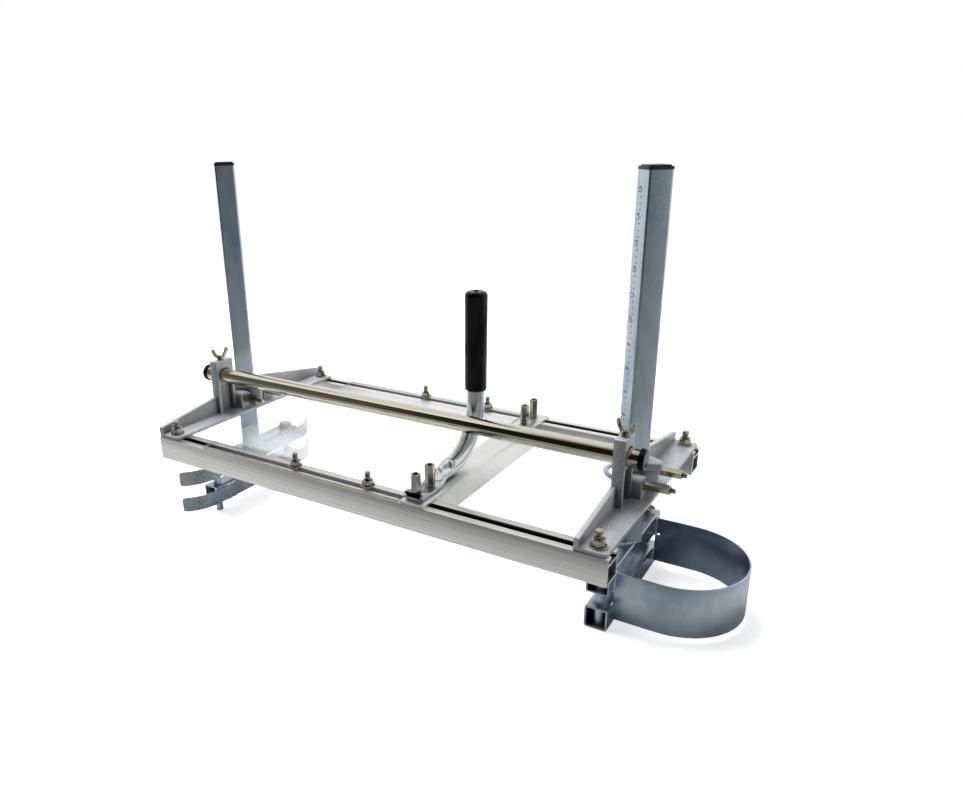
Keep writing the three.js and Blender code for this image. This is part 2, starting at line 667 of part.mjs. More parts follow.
// Both ends: bracket, riser, jaw and their fasteners
const bracketBody = makeBracket();
for (const [end, side, gap, boltRadius, boltLength, wingTurn] of [
  [leftEnd, 'left', jaw.leftGap, clampBolt.leftRadius, clampBolt.leftLength, wingScrew.leftTurn],
  [rightEnd, 'right', jaw.rightGap, clampBolt.rightRadius, clampBolt.rightLength, wingScrew.rightTurn],
]) {
  const lowerTop = riser.bottom - tube.side - gap;
  piece(end, `${side}_end_bracket`, bracketBody, castAluminium);
  piece(end, `${side}_riser`, makeRiser(), zincSteel);
  piece(end, `${side}_riser_cap`, makeRiserCap(), blackRubber);
  piece(end, `${side}_upper_jaw_tube`, makeJawTube(riser.bottom, boltRadius), zincSteel);
  piece(end, `${side}_lower_jaw_tube`, makeJawTube(lowerTop, boltRadius), zincSteel);
  piece(end, `${side}_u_bolt`, makeUBolt(), nickelSteel);
  piece(end, `${side}_wing_screw`, makeWingScrew(wingTurn), nickelSteel);
  for (const [row, sign, y] of [['front', -1, slotFront], ['rear', 1, slotRear]]) {
    piece(end, `${side}_bracket_bolt_${row}`, makeTeeBolt(m8, bracket.boltX, y, 21.5), nickelSteel);
    const nut = makeNutAndWasher(m8, bracket.boltX, y, bracket.flange + seat);
    piece(end, `${side}_bracket_nut_${row}`, nut, nickelSteel);
    piece(end, `${side}_u_bolt_nut_${row}`, makeLegNut(sign), nickelSteel);
    piece(end, `${side}_clamp_bolt_${row}`, makeClampBolt(sign, boltRadius, boltLength), nickelSteel);
  }
}
const jawMiddle = riser.bottom - tube.side / 2;
piece(leftEnd, 'upper_skid', makeSkid(jawMiddle), zincSteel);
piece(leftEnd, 'lower_skid', makeSkid(jawMiddle - tube.side - jaw.leftGap), zincSteel);
piece(rightEnd, 'nose_guard', makeNoseGuard(), zincSteel);

// The part's origin is on the floor under the middle of its outline
mill.updateMatrixWorld(true);
const outline = new THREE.Box3().setFromObject(mill);
const centre = outline.getCenter(new THREE.Vector3());
frame.position.set(-centre.x, -centre.y, -outline.min.z);

export default mill;
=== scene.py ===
# Chainsaw mill on a pale studio floor: slotted rails, cast end brackets, square risers with
# jaw tubes, push bar, bent handle, nose guard and a clear guard sheet.
from math import asin, atan2, cos, pi, radians, sin, sqrt

import bmesh
import bpy
from mathutils import Matrix, Vector


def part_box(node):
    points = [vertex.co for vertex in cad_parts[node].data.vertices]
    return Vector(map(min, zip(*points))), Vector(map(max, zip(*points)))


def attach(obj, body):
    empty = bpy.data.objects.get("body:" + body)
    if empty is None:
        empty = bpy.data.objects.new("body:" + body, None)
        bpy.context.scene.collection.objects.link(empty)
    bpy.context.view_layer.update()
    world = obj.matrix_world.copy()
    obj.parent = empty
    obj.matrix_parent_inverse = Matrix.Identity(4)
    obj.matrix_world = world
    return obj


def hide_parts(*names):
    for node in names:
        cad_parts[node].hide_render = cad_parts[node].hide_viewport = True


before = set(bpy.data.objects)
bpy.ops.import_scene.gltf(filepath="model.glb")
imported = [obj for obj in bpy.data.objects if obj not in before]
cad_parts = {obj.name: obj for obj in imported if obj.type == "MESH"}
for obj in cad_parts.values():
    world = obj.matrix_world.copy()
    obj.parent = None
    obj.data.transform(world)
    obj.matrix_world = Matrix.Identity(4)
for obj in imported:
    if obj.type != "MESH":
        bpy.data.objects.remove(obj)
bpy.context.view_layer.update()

mm = 0.001
railLow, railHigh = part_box("front_rail")
# every place below is in millimetres from the front rail's top front edge at its left end
railCorner = Vector((railLow[0], railLow[1], railHigh[2]))
sizes = {
    "middle": 159.5, "slotFront": 13.5, "slotRear": 305.5, "rightEnd": 575.0, "riserX": 1.6,
    "jawTop": -61.2, "jawSide": 25.4, "leftGap": 13.4,
}
# where the mill's two ends stand along the rails, and their bodies
endPlaces = {"left": 0.0, "right": sizes["rightEnd"]}
endBodies = {"left": "frame", "right": "right_end"}


def at(x, y, z):
    return railCorner + Vector((x, y, z)) * mm


# A hex value is sRGB, Blender wants linear
def linear(hexValue):
    channels = [int(hexValue[i:i + 2], 16) / 255 for i in (1, 3, 5)]
    return tuple(c / 12.92 if c <= 0.04045 else ((c + 0.055) / 1.055) ** 2.4 for c in channels) + (1.0,)


# Sets or links one input; a node given as the value stands for its first output in use
def feed(tree, node, key, value):
    if isinstance(value, bpy.types.Node):
        value = next(output for output in value.outputs if output.enabled)
    if isinstance(value, bpy.types.NodeSocket):
        tree.links.new(value, node.inputs[key])
    else:
        node.inputs[key].default_value = value


def addNode(tree, kind, inputs=None, **settings):
    node = tree.nodes.new(kind)
    for name, value in settings.items():
        if name == "stops":
            elements = node.color_ramp.elements
            while len(elements) < len(value):
                elements.new(0.5)
            for element, (position, tint) in zip(elements, value):
                element.position, element.color = position, linear(tint)
        else:
            setattr(node, name, value)
    for key, value in (inputs or {}).items():
        feed(tree, node, key, value)
    return node


def newMaterial(name, settings):
    material = bpy.data.materials.new(name)
    material.use_nodes = True
    tree = material.node_tree
    shader = tree.nodes["Principled BSDF"]
    for key, value in settings.items():
        shader.inputs[key].default_value = value
    return material, tree, shader


# Noises on the surfaces: the size of their marks in millimetres, along X, Y and Z where it
# differs, then their detail and their roughness
noises = {
    # die lines and draw lines are finer than this on the real metal, too fine to show
    "dieLines": (333.3, 1.111, 1.111, 4.0, 0.6),
    "drawLines": (500.0, 1.429, 1.429, 3.0, 0.6),
    "dieClouds": (250.0, 33.33, 33.33, 2.0, 0.5),
    "blastGrain": (0.7143, 2.0, 0.6),
    "castClouds": (18.18, 3.0, 0.55),
    "zincClouds": (29.41, 29.41, 58.82, 3.0, 0.5),
    "zincGrain": (3.846, 2.0, 0.6),
    "stains": (1.429, 2.0, 0.5),
    "dipWaves": (11.11, 11.11, 37.04, 2.0, 0.5),
    "eggshell": (1.111, 2.0, 0.5),
    "scuffs": (83.33, 2.0, 0.5),
    "chips": (2.0, 4.0, 0.7),
    "scrapes": (3.333, 2.0, 0.5),
    "ripples": (2.381, 3.0, 0.6),
}


def noiseNode(tree, name):
    *marks, detail, roughness = noises[name]
    scales = [1 / (mark * mm) for mark in (marks if len(marks) == 3 else marks * 3)]
    place = addNode(tree, "ShaderNodeTexCoord")
    scaled = addNode(tree, "ShaderNodeMapping", {
        "Vector": place.outputs["Object"], "Scale": scales,
    })
    return addNode(tree, "ShaderNodeTexNoise", {
        "Vector": scaled, "Scale": 1.0, "Detail": detail, "Roughness": roughness,
    })


# Steel with blue-passivated zinc: pale blue grey with green and violet clouds about 30 mm wide
def zincPlate(name, tints, gloss, reach=22.0, darkest=0.05):
    return {
        "name": name, "slot": "zinc_steel", "shader": {"Metallic": 1.0}, "noise": "zincClouds",
        "tints": tints, "glossNoise": "zincGrain", "gloss": gloss, "reliefNoise": "zincGrain",
        # painted shade in its hollows, as far and as dark as reach and darkest say
        "relief": 0.002, "hollowShade": {"reach": reach, "darkest": darkest},
    }


# Each finish has the record's slot and its shader's fixed values. Its noise mixes the tints, varies
# the roughness (gloss) and raises the surface by so many millimetres (relief), unless another
# noise is named for that. Where a finish has hollow shade, painted shade darkens its hollows.
looks = {
    # Extruded 6063 aluminium, as drawn from the die: satin warm grey with fine lines along the length
    "extruded": {
        "name": "extrudedAluminium", "slot": "extruded_aluminium", "shader": {"Metallic": 1.0},
        "noise": "dieLines", "tints": ("#cfcfcb", "#f8f8f4"), "glossNoise": "dieClouds",
        # painted shade in its hollows
        "gloss": (0.34, 0.46), "relief": 0.02, "hollowShade": {"reach": 22.0, "darkest": 0.03},
    },
    # Sand-cast aluminium, shot blasted: light neutral grey, its 0.7 mm grain sparkles
    "cast": {
        "name": "castAluminium", "slot": "cast_aluminium", "shader": {"Metallic": 0.4},
        "noise": "castClouds", "tints": ("#cdced3", "#dadbdf"), "glossNoise": "blastGrain",
        "gloss": (0.30, 0.46), "reliefNoise": "blastGrain", "relief": 0.12,
        # painted shade in its hollows; faces that look up are left unshaded
        "hollowShade": {"reach": 45.0, "darkest": 0.06, "unshadedTops": True},
        "specks": [(0.38, "#b4b5b8"), (0.62, "#ffffff")], "speckShare": 0.8,
    },
    "zinc": zincPlate("zincPlate", ("#a2b4c5", "#bac7d1", "#acbcc1"), (0.28, 0.40)),
    # the jaws have a violet cast
    "zincJaw": zincPlate("zincPlateJaw", ("#979bae", "#a5afba", "#9b9fb0"), (0.26, 0.36)),
    # painted shade: the skids get a darker copy of the plating
    "zincSkidShaded": zincPlate("zincPlateSkid", ("#7b878f", "#8f999d", "#85908d"), (0.24, 0.34)),
    # painted shade: a darker blue copy of the plating for the hoop's inner face
    "zincInnerShaded": zincPlate("zincPlateInner", ("#8998a9", "#92a2b5", "#9199ae"), (0.28, 0.38)),
    # drawn tube is smoother under the same plating
    "zincTube": zincPlate("zincPlatedTube", ("#c3cccf", "#ccd4d6", "#c6cecd"), (0.12, 0.20), 7.0, 0.3),
    # Steel tube with polished nickel plating: a warm mirror with hair-fine draw lines
    "mirror": {
        "name": "polishedNickel", "slot": "bright_steel", "shader": {"Metallic": 1.0},
        "noise": "drawLines", "tints": ("#bdb8a4", "#e4e0d2"), "gloss": (0.05, 0.10),
    },
    # Steel fasteners with an olive passivation, smooth enough to flash on their flats
    "nickel": {
        "name": "nickelFastener", "slot": "nickel_steel", "shader": {"Metallic": 1.0},
        "noise": "stains", "tints": ("#989581", "#c2bfad"), "gloss": (0.10, 0.18),
        # painted shade in its hollows
        "hollowShade": {"reach": 6.0, "darkest": 0.04},
    },
    # Vinyl dipped grip: near-black, smooth and glossy, with very slight waves in the gloss
    "vinyl": {
        "name": "dippedVinyl", "slot": "black_rubber",
        "shader": {"Specular IOR Level": 0.2},
        "noise": "dipWaves", "tints": ("#050609", "#0b0c10"), "gloss": (0.10, 0.18),
        "relief": 0.04,
    },
    # Moulded polyethylene caps: black with a fine eggshell texture
    "plastic": {
        "name": "mouldedPlastic", "slot": "black_plastic", "shader": {"IOR": 1.51},
        "noise": "eggshell", "tints": ("#101013", "#1b1b1f"), "gloss": (0.38, 0.5),
        "relief": 0.03,
    },
    # Clear polycarbonate sheet: nearly invisible, with faint scuffs
    "clear": {
        "name": "clearPolycarbonate", "slot": "clear_sheet", "shader": {"IOR": 1.58},
        "noise": "scuffs", "tints": ("#eef1f6", "#f8f9fb"), "gloss": (0.03, 0.07),
    },
    # Its sawn edges: cream and dull, chipped about every 2 mm by the saw teeth
    "sawn": {
        "name": "sawnPolycarbonateEdge", "slot": "clear_sheet", "shader": {"IOR": 1.58},
        "noise": "chips", "tints": ("#ddd6be", "#fffcf0"), "spread": (0.35, 0.65),
        "gloss": (0.3, 0.55), "relief": 0.3,
    },
    # Its other edges are scraped smooth and show only a pale grey line
    "scraped": {
        "name": "scrapedPolycarbonateEdge", "slot": "clear_sheet",
        "shader": {"IOR": 1.58, "Alpha": 0.6},
        "noise": "scrapes", "tints": ("#d2dcde", "#eef3f4"), "gloss": (0.2, 0.35),
    },
    # Weld bead left by MIG welding and then zinc plated: bright silver ripples
    "weld": {
        "name": "weldMetal", "slot": "zinc_steel", "shader": {"Metallic": 1.0},
        "noise": "ripples", "tints": ("#b3bcc2", "#e0e4e6"), "gloss": (0.2, 0.4),
        "relief": 0.06,
    },
    # Stamped scale: the figures are filled with dark blue-grey ink
    "ink": {
        "name": "scaleInk", "slot": "zinc_steel", "shader": {"Metallic": 0.2},
        "noise": "stains", "tints": ("#434f59", "#697782"), "gloss": (0.4, 0.6),
    },
}


# Painted shade: hollows and inner corners see less of the room, so ambient occlusion darkens the
# metal's colour there; reach is in millimetres, and faces that look up can be left unshaded
def darkenHollows(tree, colour, reach, darkest, unshadedTops=False):
    distance = {"Distance": reach * mm}
    hollow = addNode(tree, "ShaderNodeAmbientOcclusion", distance, samples=8, only_local=True)
    share = addNode(tree, "ShaderNodeMapRange", {
        "Value": hollow.outputs["AO"], "From Min": 0.2, "From Max": 0.85, "To Min": darkest, "To Max": 1.0,
    })
    if unshadedTops:
        surface = addNode(tree, "ShaderNodeNewGeometry")
        parts = addNode(tree, "ShaderNodeSeparateXYZ", {"Vector": surface.outputs["Normal"]})
        share = addNode(tree, "ShaderNodeMath", {0: share, 1: parts.outputs["Z"]}, operation="MAXIMUM")
    return addNode(tree, "ShaderNodeVectorMath", {0: colour, "Scale": share}, operation="SCALE")


usualSpread = (0.3, 0.7)    # most values of a noise lie between these


def makeFinish(look):
    material, tree, shader = newMaterial(look["name"], look["shader"])
    main = look["noise"]
    glossNoise, reliefNoise = look.get("glossNoise", main), look.get("reliefNoise", main)
    made = {name: noiseNode(tree, name) for name in dict.fromkeys((main, glossNoise, reliefNoise))}
    low, high = look.get("spread", usualSpread)
    last = len(look["tints"]) - 1
    stops = [(low + (high - low) * k / last, tint) for k, tint in enumerate(look["tints"])]
    colour = addNode(tree, "ShaderNodeValToRGB", {"Fac": made[main]}, stops=stops)
    if "specks" in look:
        speck = addNode(tree, "ShaderNodeValToRGB", {"Fac": made[reliefNoise]}, stops=look["specks"])
        mixing = {"Factor": look["speckShare"], "A": colour, "B": speck}
        colour = addNode(tree, "ShaderNodeMix", mixing, data_type="RGBA", blend_type="MULTIPLY")
    # painted shade: ambient occlusion darkens the base colour in hollows and inner corners
    if "hollowShade" in look:
        colour = darkenHollows(tree, colour, **look["hollowShade"])
    feed(tree, shader, "Base Color", colour)

    smoothest, roughest = look["gloss"]
    feed(tree, shader, "Roughness", addNode(tree, "ShaderNodeMapRange", {
        "Value": made[glossNoise], "From Min": usualSpread[0], "From Max": usualSpread[1],
        "To Min": smoothest, "To Max": roughest,
    }))
    if "relief" in look:
        feed(tree, shader, "Normal", addNode(tree, "ShaderNodeBump", {
            "Height": made[reliefNoise], "Strength": 1.0, "Distance": look["relief"] * mm,
        }))
    return material


# The sheet is clear over the rails and at its left end, and painted milky towards the middle as a
# painted reflection of the white room; places are in metres from the mill's middle
reflectionVeil = {
    "rails": (0.122, 0.134), "overRails": 0.12, "leftPart": (-0.290, -0.170), "least": 0.04, "most": 0.34,
}


def veilSheet(material):
    tree = material.node_tree
    place = addNode(tree, "ShaderNodeTexCoord")
    parts = addNode(tree, "ShaderNodeSeparateXYZ", {"Vector": place.outputs["Object"]})
    outwards = addNode(tree, "ShaderNodeMath", {0: parts.outputs["Y"]}, operation="ABSOLUTE")
    shares = []
    for value, (start, end), first, last in (
        (outwards, reflectionVeil["rails"], 1.0, reflectionVeil["overRails"]),
        (parts.outputs["X"], reflectionVeil["leftPart"], reflectionVeil["least"], reflectionVeil["most"]),
    ):
        shares.append(addNode(tree, "ShaderNodeMapRange", {
            "Value": value, "From Min": start, "From Max": end, "To Min": first, "To Max": last,
        }, interpolation_type="SMOOTHSTEP"))
    # painted reflection: the sheet's opacity, and so its milky white, rises towards the middle
    alpha = addNode(tree, "ShaderNodeMath", dict(enumerate(shares)), operation="MULTIPLY")
    feed(tree, tree.nodes["Principled BSDF"], "Alpha", alpha)


finishes = {key: makeFinish(look) for key, look in looks.items()}
veilSheet(finishes["clear"])
print("finishes made")


def newObject(name, data):
    made = bpy.data.objects.new(name, data)
    bpy.context.collection.objects.link(made)
    return made


# Meshes: everything is drawn in millimetres and settled into metres once
def meshFrom(name, points, faces, place=at):
    mesh = bpy.data.meshes.new(name)
    mesh.from_pydata([place(*p) for p in points], [], faces)
    mesh.validate()
    work = bmesh.new()
    work.from_mesh(mesh)
    bmesh.ops.remove_doubles(work, verts=work.verts, dist=1e-7)
    bmesh.ops.recalc_face_normals(work, faces=work.faces)
    work.to_mesh(mesh)
    work.free()
    return mesh


# The mesh that a holder's modifiers or curves give; the holder then goes
def settledMesh(holder):
    graph = bpy.context.evaluated_depsgraph_get()
    mesh = bpy.data.meshes.new_from_object(holder.evaluated_get(graph), depsgraph=graph)
    holder.modifiers.clear()
    bpy.data.objects.remove(holder)
    return mesh


def listsOf(mesh, unit=1.0):
    return [tuple(v.co / unit) for v in mesh.vertices], [tuple(f.vertices) for f in mesh.polygons]


def joinLists(parts):
    points, faces = [], []
    for partPoints, partFaces in parts:
        start = len(points)
        points += partPoints
        faces += [tuple(index + start for index in face) for face in partFaces]
    return points, faces


def loft(rings, loop=False):
    count = len(rings[0])
    points = [p for ring in rings for p in ring]
    faces = []
    for r in range(len(rings) if loop else len(rings) - 1):
        nextRing = (r + 1) % len(rings)
        for k in range(count):
            j = (k + 1) % count
            faces.append((r * count + k, r * count + j, nextRing * count + j, nextRing * count + k))
    if not loop:
        faces.append(tuple(reversed(range(count))))
        faces.append(tuple((len(rings) - 1) * count + k for k in range(count)))
    return points, faces


pole = 0.001    # radius of the ring that closes a turned shape on its axis


def circle(radius, sides):
    turns = [2 * pi * k / sides for k in range(sides)]
    return [(radius * cos(t), radius * sin(t)) for t in turns]


# A section's points, set out along two directions from a place
def ringAt(place, along, across, section):
    return [tuple(p + u * a + v * b for p, a, b in zip(place, along, across)) for u, v in section]


# Rings round an upright axis, one for each radius and height of a profile
def turnedRings(profile, sides, x=0.0, y=0.0):
    return [ringAt((x, y, z), (1, 0, 0), (0, 1, 0), circle(r, sides)) for r, z in profile]


# Quarter round from start to end about a centre, without its first point
def quarterRound(centre, start, end, steps):
    angles = [pi / 2 * k / steps for k in range(1, steps + 1)]
    return [
        tuple(c + (s - c) * cos(angle) + (e - c) * sin(angle) for c, s, e in zip(centre, start, end))
        for angle in angles
    ]


# Closed curve through the given points of a plane
def smoothLoop(corners, steps):
    count = len(corners)
    curve = []
    for k in range(count):
        a, b, c, d = (Vector(corners[(k + j - 1) % count]) for j in range(4))
        for i in range(steps):
            t = i / steps
            bend = (2 * a - 5 * b + 4 * c - d) * t + (3 * b - a - 3 * c + d) * t * t
            curve.append(b + 0.5 * t * ((c - a) + bend))
    return curve


# The same outline moved inwards by amount
def drawnIn(outline, amount):
    count = len(outline)
    area = sum(outline[k - 1].cross(outline[k]) for k in range(count))
    way = 1 if area > 0 else -1
    moved = []
    for k in range(count):
        along = (outline[(k + 1) % count] - outline[k - 1]).normalized()
        moved.append(outline[k] + Vector((-along.y, along.x)) * way * amount)
    return moved


def finishPiece(name, mesh, look, body, replaced=(), smoothAngle=35.0, extraLooks=()):
    mesh.name = name
    piece = newObject(name, mesh)
    mesh.materials.clear()
    for key in (look, *extraLooks):
        mesh.materials.append(finishes[key])
    mesh.shade_smooth()
    mesh.set_sharp_from_angle(angle=radians(smoothAngle))
    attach(piece, body)
    if replaced:
        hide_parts(*replaced)


# A copy of a CAD solid with its edges broken, as a file, a die or a mould leaves them
def brokenEdges(node, width):
    sharp = radians(32.0)
    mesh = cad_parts[node].data.copy()
    work = bmesh.new()
    work.from_mesh(mesh)
    bmesh.ops.remove_doubles(work, verts=work.verts, dist=2e-6)
    bmesh.ops.dissolve_limit(work, angle_limit=radians(1.0), verts=work.verts, edges=work.edges)
    edges = [e for e in work.edges if len(e.link_faces) == 2 and e.calc_face_angle() > sharp]
    bmesh.ops.bevel(
        work, geom=edges, offset=width * mm, offset_type="OFFSET", segments=2, profile=0.5,
        affect="EDGES", clamp_overlap=True,
    )
    bmesh.ops.triangulate(work, faces=[f for f in work.faces if len(f.verts) > 4])
    work.to_mesh(mesh)
    work.free()
    return mesh


edgeWidths = {
    "rail": 0.35, "bracket": 0.45, "jaw": 0.3, "riser": 0.3, "beam": 1.2, "strip": 0.45, "cap": 0.7,
    "sheet": 0.25,
}
# solids that keep their shape: node, piece, finish, body and kind of edge
dressed = [
    ("front_rail", "frontRail", "extruded", "frame", "rail"),
    ("rear_rail", "rearRail", "extruded", "frame", "rail"),
    ("crossbeam", "crossbeamAngle", "extruded", "handle", "beam"),
    ("left_end_bracket", "leftBracket", "cast", "frame", "bracket"),
    ("right_end_bracket", "rightBracket", "cast", "right_end", "bracket"),
]
for side in ("left", "right"):
    dressed += [
        (f"{side}_riser", f"{side}RiserTube", "zinc", f"{side}_lift", "riser"),
        (f"{side}_riser_cap", f"{side}RiserPlug", "plastic", f"{side}_lift", "cap"),
        (f"{side}_upper_jaw_tube", f"{side}UpperJaw", "zincJaw", f"{side}_lift", "jaw"),
        (f"{side}_lower_jaw_tube", f"{side}LowerJaw", "zincJaw", f"{side}_lower_jaw", "jaw"),
    ]
for node, name, look, body, edge in dressed:
    finishPiece(name, brokenEdges(node, edgeWidths[edge]), look, body, (node,))
print("frame, brackets, risers and jaws dressed")


# Nose guard: a strip bent into a hoop; its inner face gets the darker copy of the plating as painted shade
hoop = {"x": sizes["rightEnd"] + sizes["riserX"], "straight": 59.0}


def dressHoop():
    mesh = brokenEdges("nose_guard", edgeWidths["strip"])
    finishPiece("noseGuardHoop", mesh, "zinc", "right_lift", ("nose_guard",), extraLooks=("zincInnerShaded",))
    centre = at(hoop["x"] + hoop["straight"], sizes["middle"], 0)
    for face in mesh.polygons:
        inward = centre - face.center
        inward.x = min(0.0, inward.x)
        inward.z = 0
        # faces that look into the hoop take the painted-shade copy
        face.material_index = 1 if face.normal.dot(inward) > 0 and abs(face.normal.z) < 0.5 else 0


dressHoop()

# Skids: a strip across the inner face of each left jaw tube, its ends curved away
skid = {
    "inner": 14.5, "thickness": 3.0, "height": 20.5, "halfStraight": 86.5, "curveRadius": 57.4,
    "curveLength": 46.2, "tipRadius": 5.0, "edge": 0.5, "steps": 40,
}


def skidRing(angle, way, centreZ):
    s = skid
    out = s["halfStraight"] + (s["curveRadius"] - s["thickness"] / 2) * sin(angle)
    intoTip = max(0.0, out - (s["halfStraight"] + s["curveLength"] - s["tipRadius"]))
    tip = s["tipRadius"]
    cut = tip - sqrt(max(0.0, tip * tip - min(intoTip, tip) ** 2))
    high, deep, edge = s["height"] / 2 - cut, s["thickness"], s["edge"]
    section = [
        (edge, -high), (deep - edge, -high), (deep, edge - high), (deep, high - edge),
        (deep - edge, high), (edge, high), (0, high - edge), (0, edge - high),
    ]
    radius = s["curveRadius"] - deep
    centre = (s["inner"] - radius, sizes["middle"] + way * s["halfStraight"], centreZ)
    outwards = (cos(angle), way * sin(angle), 0)
    return ringAt(centre, outwards, (0, 0, 1), [(radius + depth, height) for depth, height in section])


def makeSkid(node, name, body, centreZ):
    bend = asin(skid["curveLength"] / skid["curveRadius"])
    angles = [bend * k / skid["steps"] for k in range(skid["steps"] + 1)]
    rings = [skidRing(angle, -1, centreZ) for angle in reversed(angles)]
    rings += [skidRing(angle, 1, centreZ) for angle in angles]
    # painted shade: the skids take the darker copy of the plating
    finishPiece(name, meshFrom(name, *loft(rings)), "zincSkidShaded", body, (node,))


upperJawZ = sizes["jawTop"] - sizes["jawSide"] / 2
lowerJawZ = upperJawZ - sizes["jawSide"] - sizes["leftGap"]
makeSkid("upper_skid", "upperSkid", "left_lift", upperJawZ)
makeSkid("lower_skid", "lowerSkid", "left_lower_jaw", lowerJawZ)
print("skids made")


# Guard sheet: clear faces, cream sawn edges towards the front and scraped ones elsewhere
def dressGuardSheet():
    mesh = brokenEdges("guard_sheet", edgeWidths["sheet"])
    finishPiece("guardSheet", mesh, "clear", "guard", ("guard_sheet",), extraLooks=("sawn", "scraped"))
    for face in mesh.polygons:
        onEdge = 1 if face.normal.y < -0.5 else 2
        face.material_index = 0 if abs(face.normal.z) > 0.5 else onEdge


dressGuardSheet()


# Push bar and its slip-on caps
pushBar = {
    "radius": 10.0, "wall": 2.0, "edge": 0.4, "left": -18.7, "right": 602.5, "y": 112.75, "z": 56.3,
    "capRadius": 11.5, "capBore": 10.15, "capGap": 0.2, "capEdge": 0.4, "capEnd": 2.2,
    "capLength": 6.0, "capRound": 1.6, "sides": 96,
}


def ringsAlongBar(profile):
    b = pushBar
    return [ringAt((x, b["y"], b["z"]), (0, 1, 0), (0, 0, 1), circle(r, b["sides"])) for x, r in profile]


def makePushBar():
    b = pushBar
    outer, inner, edge = b["radius"], b["radius"] - b["wall"], b["edge"]
    rings = ringsAlongBar([
        (b["left"], inner), (b["left"], outer - edge), (b["left"] + edge, outer),
        (b["right"] - edge, outer), (b["right"], outer - edge), (b["right"], inner),
    ])
    mesh = meshFrom("pushBar", *loft(rings, loop=True))
    finishPiece("pushBarTube", mesh, "mirror", "push_bar", ("push_bar",))
    for end, way, node, name in (
        (b["left"], -1, "push_bar_cap_left", "pushBarCapLeft"),
        (b["right"], 1, "push_bar_cap_right", "pushBarCapRight"),
    ):
        face = end + way * b["capEnd"]
        back = face - way * b["capLength"]
        bore, outside, turn, edge = b["capBore"], b["capRadius"], b["capRound"], b["capEdge"]
        inside = end + way * b["capGap"]
        shoulder = (face - way * turn, outside)
        profile = [(inside, pole), (inside, bore), (back, bore), (back, outside - edge)]
        profile += [(back + way * edge, outside), shoulder]
        profile += quarterRound((shoulder[0], outside - turn), shoulder, (face, outside - turn), 6)
        profile.append((face, pole))
        mesh = meshFrom(name, *loft(ringsAlongBar(profile)))
        finishPiece(name, mesh, "vinyl", "push_bar", (node,))


makePushBar()
print("push bar made")


# Handle: the tube comes down and bends forward; its upper wall is dented on to the lower one, and
# the foot is pressed wide and flat between two standing lips
handle = {
    "x": 392.5, "radius": 10.25, "rise": 143.0, "bend": 60.0, "top": 198.0, "floor": 3.4,
    "front": 8.0, "pressedTo": 47.0, "dentedTo": 66.0, "deepTo": 52.0, "shallowFrom": 72.0,
    "doubleWall": 3.4,
    # height of the lips over the underside, by distance from the rail's front face
    "lips": [(8, 8.5), (14, 8.1), (24, 5.1), (47, 5.3), (61, 8.7), (66, 10.25)],
}


def lipHeight(y):
    lips = handle["lips"]
    last = len(lips) - 1
    k = max(i for i in range(last) if i == 0 or lips[i][0] <= y)
    (y0, low), (y1, high) = lips[k], lips[k + 1]

    def slope(i):
        (yBefore, before), (yAfter, after) = lips[max(i - 1, 0)], lips[min(i + 1, last)]
        return (after - before) / (yAfter - yBefore) * (y1 - y0)

    t = (y - y0) / (y1 - y0)
    ease = t * t * (3 - 2 * t)
    bends = (t ** 3 - 2 * t * t + t) * slope(k) + (t ** 3 - t * t) * slope(k + 1)
    return low + (high - low) * ease + bends


def fade(y, start, end):
    share = min(max((y - start) / (end - start), 0), 1)
    return 1 - share * share * (3 - 2 * share)


# Half of the section, from the middle of the underside round to the middle of the top
def halfSection(y, pressed, dented):
    radius, floor = handle["radius"], handle["doubleWall"]
    lip = lipHeight(y) if pressed > 0 else radius
    lift = 1 - fade(y, handle["deepTo"], handle["shallowFrom"])
    flatSide = [(0, 0), (5, 0), (9.6, 0.15), (11.5, 1.9), (11.8, 4), (11.6, lip - 0.2)]
    flatTop = [(10.6, lip), (8.6, lip - 0.6), (8, floor + 0.23 * (lip - floor)), (6, floor), (0, floor)]
    nestedTop = [
        (10.2, 10.6), (8.6, 9.8), (6.9, 7 + 1.6 * lift), (4.0, 4.6 + 3.2 * lift), (0, floor + 4 * lift),
    ]
    points = []
    for j in range(11):
        turn = pi * (j / 10 - 0.5)
        tubePoint = Vector((radius * cos(turn), radius + radius * sin(turn)))
        if j > 5:
            top = Vector(nestedTop[j - 6]).lerp(Vector(flatTop[j - 6]), pressed)
            points.append(tubePoint.lerp(top, dented))
        else:
            points.append(tubePoint.lerp(Vector(flatSide[j]), pressed))
    return points


def handleRing(y, z, angle, pressed, dented, inset=0.0):
    half = halfSection(y, pressed, dented)
    other = [Vector((-p.x, p.y)) for p in reversed(half[1:10])]
    outline = smoothLoop(half + other, 4)
    if inset:
        outline = drawnIn(outline, inset)
    section = [(p.x, p.y - handle["radius"]) for p in outline]
    return ringAt((handle["x"], y, z), (1, 0, 0), (0, -sin(angle), cos(angle)), section)


